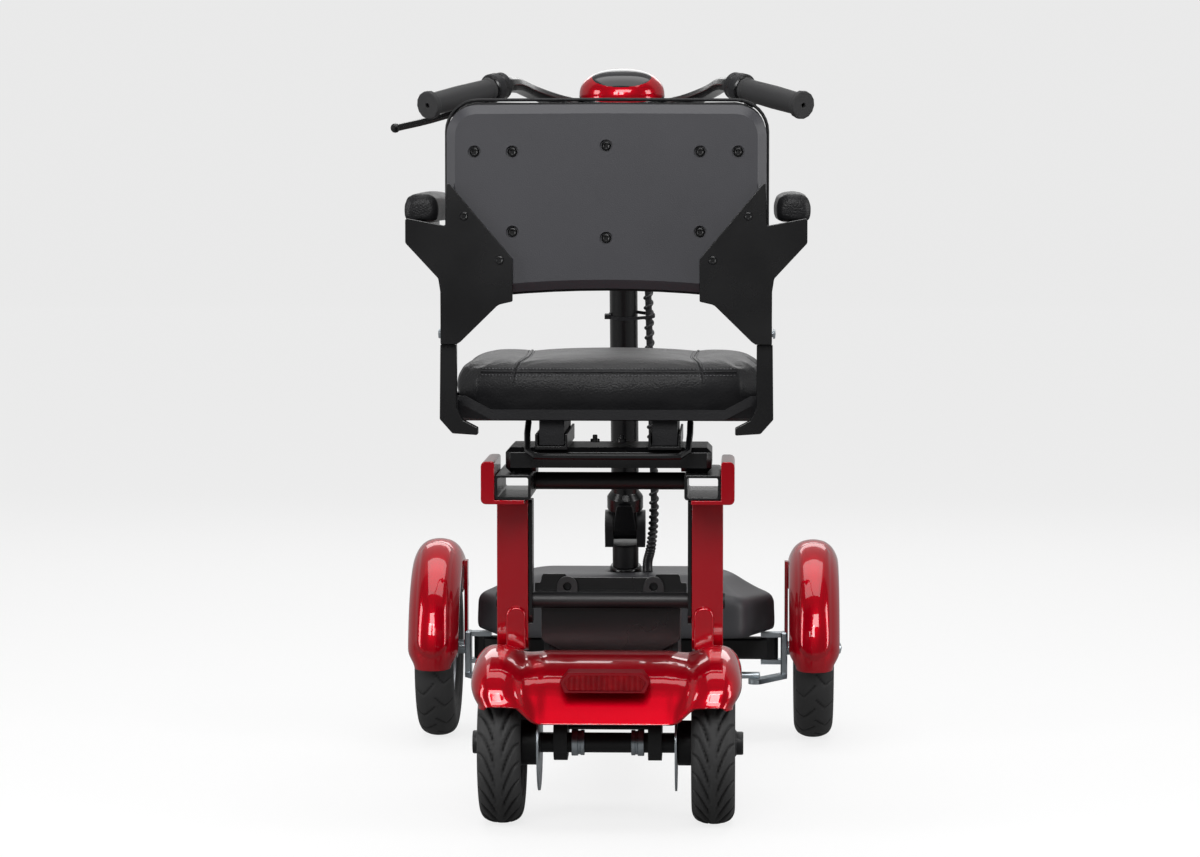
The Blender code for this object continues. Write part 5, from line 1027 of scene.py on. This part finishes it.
# The dash is a moulded red dome on the head, leaning to the rider with the tiller, with a broad smoked
# display let into its back and a black foot ring.
DISPLAY_DARK = (0.004, 0.004, 0.005, 1)
DISPLAY_LIGHT = (0.009, 0.009, 0.011, 1)
DASH_MIDDLE = at(0, 0.5505, 0.9116)
DASH_HALF = 0.0582
DASH_LENGTH = 0.0468
DASH_STEPS = (144, 110)
DASH_SECTION = (
    (0.0, -0.0040), (0.60, -0.0040), (0.95, -0.0038), (1.0, -0.0020), (1.0, 0.0020), (0.995, 0.0060),
    (0.965, 0.0120), (0.905, 0.0180), (0.81, 0.0236), (0.68, 0.0284), (0.52, 0.0318), (0.33, 0.0339),
    (0.15, 0.0347), (0.0, 0.0349),
)
DASH_FOOT = 0.0012
DISPLAY_SET = -0.008
DISPLAY_HALF = 0.0405
DISPLAY_LENGTH = 0.032


def dash_point(u, v):
    """The dash's skin: u runs round it, v from the middle of its foot over the rim to its top."""
    share, rise = through(DASH_SECTION, v)
    turn = 2 * math.pi * u
    ahead = -TILLER_BACK * DASH_LENGTH * share * math.sin(turn)
    return DASH_MIDDLE + Vector((DASH_HALF * share * math.cos(turn), 0, 0)) + ahead + TILLER_UP * rise


smoked = finished("smoked_display", DISPLAY_DARK, DISPLAY_LIGHT, 12, 0.10, 0.18)
dash = gridded("dash_dome", *DASH_STEPS, dash_point)
for finish in (candy_red, smoked, gloss_black):
    dash.data.materials.append(finish)
for face in dash.data.polygons:
    spot = face.center - DASH_MIDDLE
    across = spot.x / DISPLAY_HALF
    ahead = (-spot.dot(TILLER_BACK) - DISPLAY_SET) / DISPLAY_LENGTH
    if spot.dot(TILLER_UP) < DASH_FOOT:
        face.material_index = 2
    elif across ** 2 + ahead ** 2 < 1:
        face.material_index = 1
smoothed(dash, 50)
bpy.ops.object.mode_set(mode="EDIT")
bpy.ops.mesh.select_all(action="SELECT")
bpy.ops.mesh.separate(type="MATERIAL")
bpy.ops.object.mode_set(mode="OBJECT")
dash_parts = {part.data.materials[0].name: part for part in bpy.context.selected_objects}
for finish, part_name, slot in (
    (candy_red, "dash_dome", "candy_red"), (smoked, "dash_window", "display"),
    (gloss_black, "dash_foot", "gloss_black"),
):
    dash_parts[finish.name].name = part_name
    fixed(dash_parts[finish.name], "bars", finish)
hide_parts("dash_pod")
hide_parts("dash_display")


# The seat tower folds on a tube across the frame, under a black strap: two red uprights with a rounded
# boss at each foot, black inner plates, red top blocks round black square rails, and a plain cross tube.
FOOT_BOSS = (
    (0.1056, 0.2075, 0), (0.1304, 0.2075, 0), (0.1304, 0.2620, 0.0121), (0.1056, 0.2620, 0.0121),
)
BOSS_REAR = 0.0615
BOSS_DEPTH = 0.0065
STRAP = (
    (-0.0960, 0.2745, 0.001), (0.0960, 0.2745, 0.001), (0.0960, 0.2890, 0.002), (0.0890, 0.2890, 0.002),
    (0.0860, 0.3000, 0.002), (0.0580, 0.3000, 0.002), (0.0545, 0.2955, 0.002), (-0.0545, 0.2955, 0.002),
    (-0.0580, 0.3000, 0.002), (-0.0860, 0.3000, 0.002), (-0.0890, 0.2890, 0.002), (-0.0960, 0.2890, 0.002),
)
STRAP_REAR = 0.0996
STRAP_DEPTH = 0.0030

softened("fold_pivot_tube", 0.0008, satin_black)
softened("pivot_bracket", 0.001, gloss_black)
softened("tower_cross_tube", 0.0006, satin_black)
strap_plate = plate(
    "pivot_strap", rounded(STRAP), lambda a, b: at(a, STRAP_REAR, b), (0, STRAP_DEPTH, 0)
)
fixed(edged(strap_plate, 0.0005), "chassis", gloss_black)
for side, sign in SIDES:
    boss_outline = [(sign * x, z) for x, z in rounded(FOOT_BOSS, 12)]
    boss = plate("foot_boss_" + side, boss_outline, lambda a, b: at(a, BOSS_REAR, b), (0, BOSS_DEPTH, 0))
    fixed(edged(boss, 0.0030, 4), "tower", candy_red)
for side in "lr":
    softened("upright_" + side, 0.0045, candy_red, segments=4)
    softened("top_block_" + side, 0.0032, candy_red, segments=4)
    softened("tower_plate_" + side, 0.0008, gloss_black)
    softened("top_rail_" + side, 0.0008, gloss_black)

# The seat base is a folded black steel channel with the slide rails on top, two studs through its deck,
# and a bent black wire handle below the seat that frees the slides.
STUD = (
    (0.0, 0.0), (0.0058, 0.0), (0.0058, 0.0036), (0.0050, 0.0042), (0.0030, 0.0042), (0.0030, 0.0085),
    (0.0024, 0.0092), (0.0, 0.0092),
)
STUD_FOOT = 0.4732
STUD_PLACES = ((-0.0165, 0.012), (0.0165, 0.012))

softened("seat_base_bracket", 0.0012, gloss_black)
softened("slide_release_bar", 0, gloss_black)
stud = spun("base_stud", STUD, at(0, 0, STUD_FOOT), (0, 0, 1), steps=24)
for number, (x, y) in enumerate(STUD_PLACES):
    fixed(copied(stud, "base_stud_%d" % number, (x, y, 0)), "tower", gloss_black)
bpy.data.objects.remove(stud)

# The seat pan is a black moulded tray with raised corners at the back. Its two steel necks rise to the
# back hinge and hook under the tray; the whole seat rides on the slide rails.
PAN_REAR = -0.010
PAN_CUTS = (-0.176, -0.144, 0.144, 0.176)
PAN_BACK = 0.02
PAN_RIM = (0.51, 0.53)
PAN_DIP = 0.012
PAN_DIP_HALF = 0.145
PAN_HORN = 0.005
PAN_HORN_FROM = 0.17
NECK = (
    (0.1830, 0.5977, 0.002), (0.2025, 0.5977, 0.002), (0.2035, 0.5060, 0.003), (0.1880, 0.4885, 0.004),
    (0.1570, 0.4865, 0.002), (0.1570, 0.4955, 0.002), (0.1755, 0.5050, 0.004), (0.1828, 0.5200, 0.004),
)
NECK_REAR = -0.0640
NECK_FRONT = -0.0465


pan = bare_copy("seat_pan")
bpy.ops.object.mode_set(mode="EDIT")
for cut in PAN_CUTS:
    bpy.ops.mesh.select_all(action="SELECT")
    bpy.ops.mesh.bisect(plane_co=(cut, 0, 0), plane_no=(1, 0, 0))
bpy.ops.object.mode_set(mode="OBJECT")
for vertex in pan.data.vertices:
    if vertex.co.y < PAN_REAR + REAR_AXLE_Y + PAN_BACK and PAN_RIM[0] < vertex.co.z < PAN_RIM[1]:
        if abs(vertex.co.x) < PAN_DIP_HALF:
            vertex.co.z -= PAN_DIP
        elif abs(vertex.co.x) > PAN_HORN_FROM:
            vertex.co.z += PAN_HORN
edged(pan, 0.0012)
fixed(pan, "seat", moulded_black)
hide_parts("seat_pan")
for side, sign in SIDES:
    depth = (0, NECK_FRONT - NECK_REAR, 0)
    neck = plate("seat_neck_" + side, rounded(NECK), lambda a, b: at(sign * a, NECK_REAR, b), depth)
    fixed(edged(neck, 0.0012), "seat", gloss_black)

# The seat cushion is foam under sewn black leather: a top panel in three parts, a rolled rear edge, and
# welted seams with a row of stitches on each side.
LEATHER_DARK = (0.006, 0.006, 0.007, 1)
LEATHER_LIGHT = (0.015, 0.015, 0.016, 1)
THREAD = (0.10, 0.10, 0.105, 1)
CUSHION_SEAM = (
    (0.110, 0.330), (0.1075, 0.25), (0.1045, 0.15), (0.105, 0.07), (0.112, 0.02), (0.1185, -0.001),
)
CUSHION_SEAT = 0.5135
CUSHION_RISE = 1.24
ROLL_SEAM_Z = 0.5602
ROLL_SEAM_HALF = 0.158
CUSHION_FOOT = 0.5200
CUSHION_TOP_FROM = 0.545
CUSHION_BACK = 0.03
SEAM_ABOVE = 0.62
SEAM_BEHIND = -0.08
CUSHION_VOXEL = 0.0050
CUSHION_PUFF = 0.0075
PUFF_FRAMES = 20
STITCH = 0.0042
STITCH_FILL = 0.74
STITCH_WIDE = 0.0013
STITCH_TALL = 0.0011
STITCH_APART = 0.0038
WELT = 0.0016


def pebble_group():
    """Leather grain: rounded pebbles with fine creases between them, as a height."""
    tree, given, result = node_group(
        "pebble", (("Scale", "NodeSocketFloat"),), (("Height", "NodeSocketFloat"),)
    )
    place = tree.nodes.new("ShaderNodeTexCoord")
    cells = tree.nodes.new("ShaderNodeTexVoronoi")
    cells.feature = "SMOOTH_F1"
    lifted = tree.nodes.new("ShaderNodeMath")
    lifted.operation = "SUBTRACT"
    lifted.inputs[0].default_value = 1.0
    wired(
        tree,
        (place, "Object", cells, "Vector"), (given, "Scale", cells, "Scale"), (cells, "Distance", lifted, 1),
        (lifted, "Value", result, "Height"),
    )
    return tree


def puffed(piece, held, pressure, cap):
    """Blows a sewn cover out from inside, held where held(point) says, and no further than the cap."""
    start = [vertex.co.copy() for vertex in piece.data.vertices]
    seams = piece.vertex_groups.new(name="seams")
    for vertex in piece.data.vertices:
        weight = held(vertex.co)
        if weight > 0:
            seams.add([vertex.index], weight, "REPLACE")
    select_only(piece)
    cover = piece.modifiers.new("cover", "CLOTH")
    sewn = cover.settings
    sewn.vertex_group_mass = seams.name
    sewn.use_pressure = True
    sewn.uniform_pressure_force = pressure
    sewn.effector_weights.gravity = 0
    sewn.tension_stiffness = sewn.compression_stiffness = 12
    sewn.bending_stiffness = 0.6
    sewn.quality = 6
    cover.point_cache.frame_start = 1
    cover.point_cache.frame_end = PUFF_FRAMES
    for moment in range(1, PUFF_FRAMES + 1):
        bpy.context.scene.frame_set(moment)
    bpy.ops.object.modifier_apply(modifier=cover.name)
    bpy.context.scene.frame_set(1)
    for vertex, rest in zip(piece.data.vertices, start):
        move = vertex.co - rest
        if move.length > cap:
            vertex.co = rest + move.normalized() * cap
    return piece


def near_path(point, path, width):
    """How close a flat point is to a path, 1 on it and 0 at the width."""
    nearest = width
    for a, b in zip(path, path[1:]):
        along = b - a
        share = max(0.0, min(1.0, (point - a).dot(along) / along.length_squared))
        nearest = min(nearest, (point - a - along * share).length)
    return 1 - nearest / width


def cushion_held(point):
    """The cushion's cover is held at its underside, along its top seams and along the rear seam."""
    if point.z < CUSHION_FOOT:
        return 1.0
    y = point.y - REAR_AXLE_Y
    flat = Vector((abs(point.x), y))
    on_top = near_path(flat, [Vector(p) for p in CUSHION_SEAM], 0.005) if point.z > CUSHION_TOP_FROM else 0.0
    on_back = 1 - min(1.0, abs(point.z - ROLL_SEAM_Z) / 0.004) if y < CUSHION_BACK else 0.0
    return max(0.0, on_top, on_back)


def landed_on(piece, starts, heading):
    """Where each start comes to rest on the piece, moved along the heading, with the slope there."""
    bpy.context.view_layer.update()
    drops = [piece.ray_cast(start, heading) for start in starts]
    return [(place, normal) for hit, place, normal, face in drops if hit]


def stitched(name, landed, body):
    """A row of thread stitches from each landed point to the next."""
    bpy.ops.object.select_all(action="DESELECT")
    bpy.ops.mesh.primitive_cube_add(size=1)
    row = bpy.context.object
    row.name = name
    modified(row, "SUBSURF", levels=1, render_levels=1)
    thread = row.data.copy()
    row.data.clear_geometry()
    copies = []
    for (place, normal), (after, after_normal) in zip(landed, landed[1:]):
        run = after - place
        if run.length > 3 * STITCH:
            continue
        side = normal.cross(run).normalized()
        turned = Matrix((run.normalized(), side, normal)).transposed().to_4x4()
        size = Matrix.Diagonal((run.length * STITCH_FILL, STITCH_WIDE, STITCH_TALL, 1))
        stitch = bpy.data.objects.new("stitch", thread.copy())
        stitch.data.transform(Matrix.Translation((place + after) / 2) @ turned @ size)
        bpy.context.collection.objects.link(stitch)
        copies.append(stitch)
    bpy.ops.object.select_all(action="DESELECT")
    for stitch in copies:
        stitch.select_set(True)
    row.select_set(True)
    bpy.context.view_layer.objects.active = row
    bpy.ops.object.join()
    return fixed(smoothed(row, 80), body, sewing_thread)


PEBBLE = pebble_group()
leather = finished("black_leather", LEATHER_DARK, LEATHER_LIGHT, 26, 0.36, 0.50, Specular_IOR_Level=0.22)
embossed(leather, GRAIN, 0.2, 0.002, Scale=60)
embossed(leather, PEBBLE, 0.35, 0.0012, Scale=520)
sewing_thread = finished("sewing_thread", THREAD, THREAD, 200, 0.6, 0.7)

cushion = bare_copy("seat_cushion")
for vertex in cushion.data.vertices:
    if vertex.co.z > CUSHION_SEAT:
        vertex.co.z = CUSHION_SEAT + (vertex.co.z - CUSHION_SEAT) * CUSHION_RISE
remeshed(cushion, CUSHION_VOXEL)
puffed(cushion, cushion_held, 5.0, CUSHION_PUFF)
modified(cushion, "SUBSURF", levels=1, render_levels=1)
smoothed(cushion, 80)
fixed(cushion, "seat", leather)
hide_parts("seat_cushion")
down = Vector((0, 0, -1))
ahead = Vector((0, 1, 0))
top_seam = [through(CUSHION_SEAM, n / 70) for n in range(71)]
rear_count = int(2 * ROLL_SEAM_HALF / STITCH)
rear_seam = [ROLL_SEAM_HALF * (2 * n / rear_count - 1) for n in range(rear_count + 1)]
for name, heading, line in (
    ("l", down, lambda shift: [at(-x - shift, y, SEAM_ABOVE) for x, y in top_seam]),
    ("r", down, lambda shift: [at(x + shift, y, SEAM_ABOVE) for x, y in top_seam]),
    ("rear", ahead, lambda shift: [at(x, SEAM_BEHIND, ROLL_SEAM_Z + shift) for x in rear_seam]),
):
    for row, shift in (("in", -STITCH_APART), ("out", STITCH_APART)):
        row_name = "cushion_stitch_%s_%s" % (row, name)
        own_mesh(stitched(row_name, landed_on(cushion, line(shift), heading), "seat"))
    welt_line = [place for place, normal in landed_on(cushion, line(0), heading)]
    welt = piped("cushion_welt_" + name, welt_line, WELT, closed=False)
    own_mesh(fixed(welt, "seat", leather))
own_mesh(cushion)

# The backrest shell is a dark grey moulded board with a broad bevelled rim and an arched lower edge,
# held by eight screws sunk in round wells.
SHELL_DARK = (0.028, 0.028, 0.033, 1)
SHELL_LIGHT = (0.040, 0.040, 0.047, 1)
BACK_HALF = 0.1945
BACK_LOW = 0.652
BACK_HIGH = 0.888
BACK_ARCH = 0.0135
BACK_CORNER = 0.037
SHELL_FRONT = -0.048
SHELL_WALL = 0.0115
RIM_WIDTH = 0.011
RIM_RISE = 0.0105
SHELL_REAR = SHELL_FRONT - SHELL_WALL - RIM_RISE
WELL_RADIUS = 0.0078
WELL_DEPTH = 0.0045
SHELL_SCREWS = (
    (-0.160, 0.8313), (-0.114, 0.8313), (0.0, 0.8386), (0.114, 0.8313), (0.160, 0.8313),
    (-0.114, 0.7342), (0.0, 0.7269), (0.114, 0.7342),
)
SCREW_SUNK = 0.0030
SCREW = (
    (0.0, -0.0014), (0.0026, -0.0014), (0.0029, 0.0012), (0.0036, 0.0017), (0.0050, 0.0011),
    (0.0058, -0.0004), (0.0059, -0.0032),
)


def back_outline(inset=0.0, lift=0.0):
    """The backrest's outline: round upper corners and a lower edge that arches up in the middle."""
    half = BACK_HALF - inset
    arch = []
    for share in range(1, 12):
        x = half * (2 * share / 12 - 1)
        arch.append((x, BACK_LOW + inset + BACK_ARCH * (1 - (x / half) ** 2), 0))
    corner = BACK_CORNER - inset
    low = (BACK_LOW + inset) + 0.001
    top = BACK_HIGH - inset + lift
    left = [(-half, low, 0.022)]
    right = [(half, low, 0.022), (half, top, corner), (0, top + 0.001, 0), (-half, top, corner)]
    return rounded(left + arch + right, 8)


def on_back(depth):
    """Puts outline points at a depth behind or in front of the backrest."""
    return lambda a, b: at(a, depth, b)


shell_grey = finished("shell_grey", SHELL_DARK, SHELL_LIGHT, 8, 0.40, 0.50, wear=0.1)
embossed(shell_grey, GRAIN, 0.25, 0.0006, Scale=640)
shell = plate("backrest_board", back_outline(), on_back(SHELL_FRONT), (0, -SHELL_WALL, 0))
bpy.ops.object.mode_set(mode="EDIT")
bpy.ops.mesh.select_all(action="DESELECT")
bpy.ops.mesh.select_mode(type="FACE")
bpy.ops.object.mode_set(mode="OBJECT")
for face in shell.data.polygons:
    face.select = face.normal.y < -0.99
bpy.ops.object.mode_set(mode="EDIT")
bpy.ops.mesh.inset(thickness=RIM_WIDTH, depth=RIM_RISE)
bpy.ops.mesh.select_mode(type="VERT")
bpy.ops.object.mode_set(mode="OBJECT")
well = spun(
    "screw_well", ((0.0, 0.02), (WELL_RADIUS, 0.02), (WELL_RADIUS, -WELL_DEPTH), (0.0, -WELL_DEPTH)),
    at(0, SHELL_REAR, 0), (0, -1, 0), steps=32,
)
wells = [copied(well, "well", (x, 0, z)) for x, z in SHELL_SCREWS]
bpy.data.objects.remove(well)
well = wells[0]
select_only(well)
for hole in wells:
    hole.select_set(True)
bpy.ops.object.join()
modified(shell, "BOOLEAN", operation="DIFFERENCE", object=well, solver="EXACT")
bpy.data.objects.remove(well)
edged(shell, 0.0008, 3, 24)
fixed(shell, "backrest", shell_grey)
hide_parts("backrest_shell")

# The back pad is foam under the same sewn leather, a little taller than the shell, with a piped edge and
# a row of stitches along its top. Its lower edge arches up with the shell's.
PAD_SEAM_Y = -0.0425
PAD_ARCH = 0.0105
PAD_ARCH_REACH = 0.06
PAD_VOXEL = 0.0050
PAD_PUFF = 0.006
PIPING = 0.0021
PIPING_OUT = 0.0012
PIPING_LIFT = 0.005
PAD_STITCH_BEHIND = 0.0052


def pad_held(point):
    """The pad's cover is held at the board behind it and along its piped edge."""
    y = point.y - REAR_AXLE_Y
    return 1.0 if y < PAD_SEAM_Y else 0.0


pad = bare_copy("backrest_pad")
pad_foot = min(vertex.co.z for vertex in pad.data.vertices)
remeshed(pad, PAD_VOXEL)
for vertex in pad.data.vertices:
    arch = PAD_ARCH * (1 - (vertex.co.x / BACK_HALF) ** 2)
    vertex.co.z += arch * max(0.0, 1 - (vertex.co.z - pad_foot) / PAD_ARCH_REACH)
puffed(pad, pad_held, 4.0, PAD_PUFF)
modified(pad, "SUBSURF", levels=1, render_levels=1)
smoothed(pad, 80)
fixed(pad, "backrest", leather)
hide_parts("backrest_pad")
edge = [at(x, PAD_SEAM_Y, z) for x, z in back_outline(-PIPING_OUT, PIPING_LIFT)]
fixed(piped("back_piping", edge, PIPING), "backrest", leather)
starts = [at(x, PAD_SEAM_Y - PAD_STITCH_BEHIND, 0.95) for x in [0.002 + STITCH * n for n in range(-38, 38)]]
stitched("back_stitch", landed_on(pad, starts, down), "backrest")

# Two pressed steel brackets in gloss black carry the shell: a broad gusset behind each side, a hinge lug
# at its foot and a wing outside it for the armrest.
BRACKET = (
    (0.1135, 0.7020, 0.002), (0.1135, 0.6500, 0.002), (0.1310, 0.6460, 0.014), (0.1770, 0.6010, 0.012),
    (0.1815, 0.5980, 0.001), (0.2013, 0.5980, 0.001), (0.2015, 0.6620, 0.006), (0.2040, 0.6780, 0.006),
    (0.2440, 0.7210, 0.005), (0.2440, 0.7515, 0.003), (0.1950, 0.7420, 0.002), (0.1932, 0.7965, 0.002),
)
BRACKET_REAR = -0.0758
BRACKET_THICK = 0.0055
BRACKET_SCREWS = ((0.1724, 0.7536), (0.1293, 0.7002))
HINGE_AT = (-0.050, 0.610)
HINGE_RADIUS = 0.011
HINGE_PIN = (
    (0.0, 0.181), (0.0040, 0.181), (0.0040, 0.2030), (0.0062, 0.2030), (0.0055, 0.2055), (0.0, 0.2062),
)
HINGE_LUG = (0.1931, 0.0084)
ARM_AT = (-0.056, 0.735)
ARM_LUG = 0.0085
ARM_LUG_PLATE = (0.2368, 0.0072)
LUG_ROOT = 0.001


def lug(name, x, thickness, centre, radius):
    """A flat lug with a round nose, standing forward from the bracket to a pivot."""
    y, z = centre
    turns = [math.pi * n / 24 for n in range(-12, 13)]
    nose = [(y + radius * math.cos(turn), z + radius * math.sin(turn)) for turn in turns]
    root = BRACKET_REAR + LUG_ROOT
    outline = nose + [(root, z + radius), (root, z - radius)]
    return plate(name, outline, lambda a, b: at(x, a, b), (thickness, 0, 0))


for side, sign in SIDES:
    outline = [(sign * x, z) for x, z in rounded(BRACKET)]
    bracket = plate("back_gusset_" + side, outline, on_back(BRACKET_REAR), (0, BRACKET_THICK, 0))
    edged(bracket, 0.0009)
    fixed(bracket, "backrest", gloss_black)
    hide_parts("back_bracket_" + side)
    foot = lug("hinge_lug_" + side, *(sign * size for size in HINGE_LUG), HINGE_AT, HINGE_RADIUS)
    fixed(edged(foot, 0.0009), "backrest", gloss_black)
    ear = lug("arm_lug_" + side, *(sign * size for size in ARM_LUG_PLATE), ARM_AT, ARM_LUG)
    fixed(edged(ear, 0.0009), "backrest", gloss_black)
    pin = spun("hinge_pin_" + side, HINGE_PIN, at(0, *HINGE_AT), (sign, 0, 0), steps=24)
    fixed(pin, "backrest", zinc)
screw = spun("back_screw", SCREW, at(0, SHELL_REAR + SCREW_SUNK, 0), (0, -1, 0), steps=24, angle=25)
places = [(x, 0.0, z) for x, z in SHELL_SCREWS]
places += [
    (sign * x, BRACKET_REAR - SHELL_REAR - SCREW_SUNK, z) for sign in (-1, 1) for x, z in BRACKET_SCREWS
]
for number, place in enumerate(places):
    fixed(copied(screw, "back_screw_%d" % number, place), "backrest", gloss_black)
bpy.data.objects.remove(screw)

# Each armrest is a black steel bar that swings up on its lug, under a padded block in the same leather.
# The block sits on the bar's flat top, held along its foot.
ARM_PAD_LOW = 0.7455
ARM_PAD_CROWN = 1.48
ARM_PAD_MIDDLE = 0.2275
ARM_PAD_BROAD = 1.2
ARM_PAD_VOXEL = 0.0040
ARM_PAD_HELD = 0.7500
ARM_PAD_PUFF = 0.003

for side, sign in SIDES:
    softened("armrest_beam_" + side, 0.0012, gloss_black)
    rest = bare_copy("armrest_pad_" + side)
    for vertex in rest.data.vertices:
        vertex.co.z = ARM_PAD_LOW + (vertex.co.z - ARM_PAD_LOW) * ARM_PAD_CROWN
        vertex.co.x += (vertex.co.x - sign * ARM_PAD_MIDDLE) * (ARM_PAD_BROAD - 1)
    remeshed(rest, ARM_PAD_VOXEL)
    puffed(rest, lambda point: 1.0 if point.z < ARM_PAD_HELD else 0.0, 4.0, ARM_PAD_PUFF)
    modified(rest, "SUBSURF", levels=1, render_levels=1)
    fixed(smoothed(rest, 80), "armrest_" + side, leather)
    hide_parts("armrest_pad_" + side)
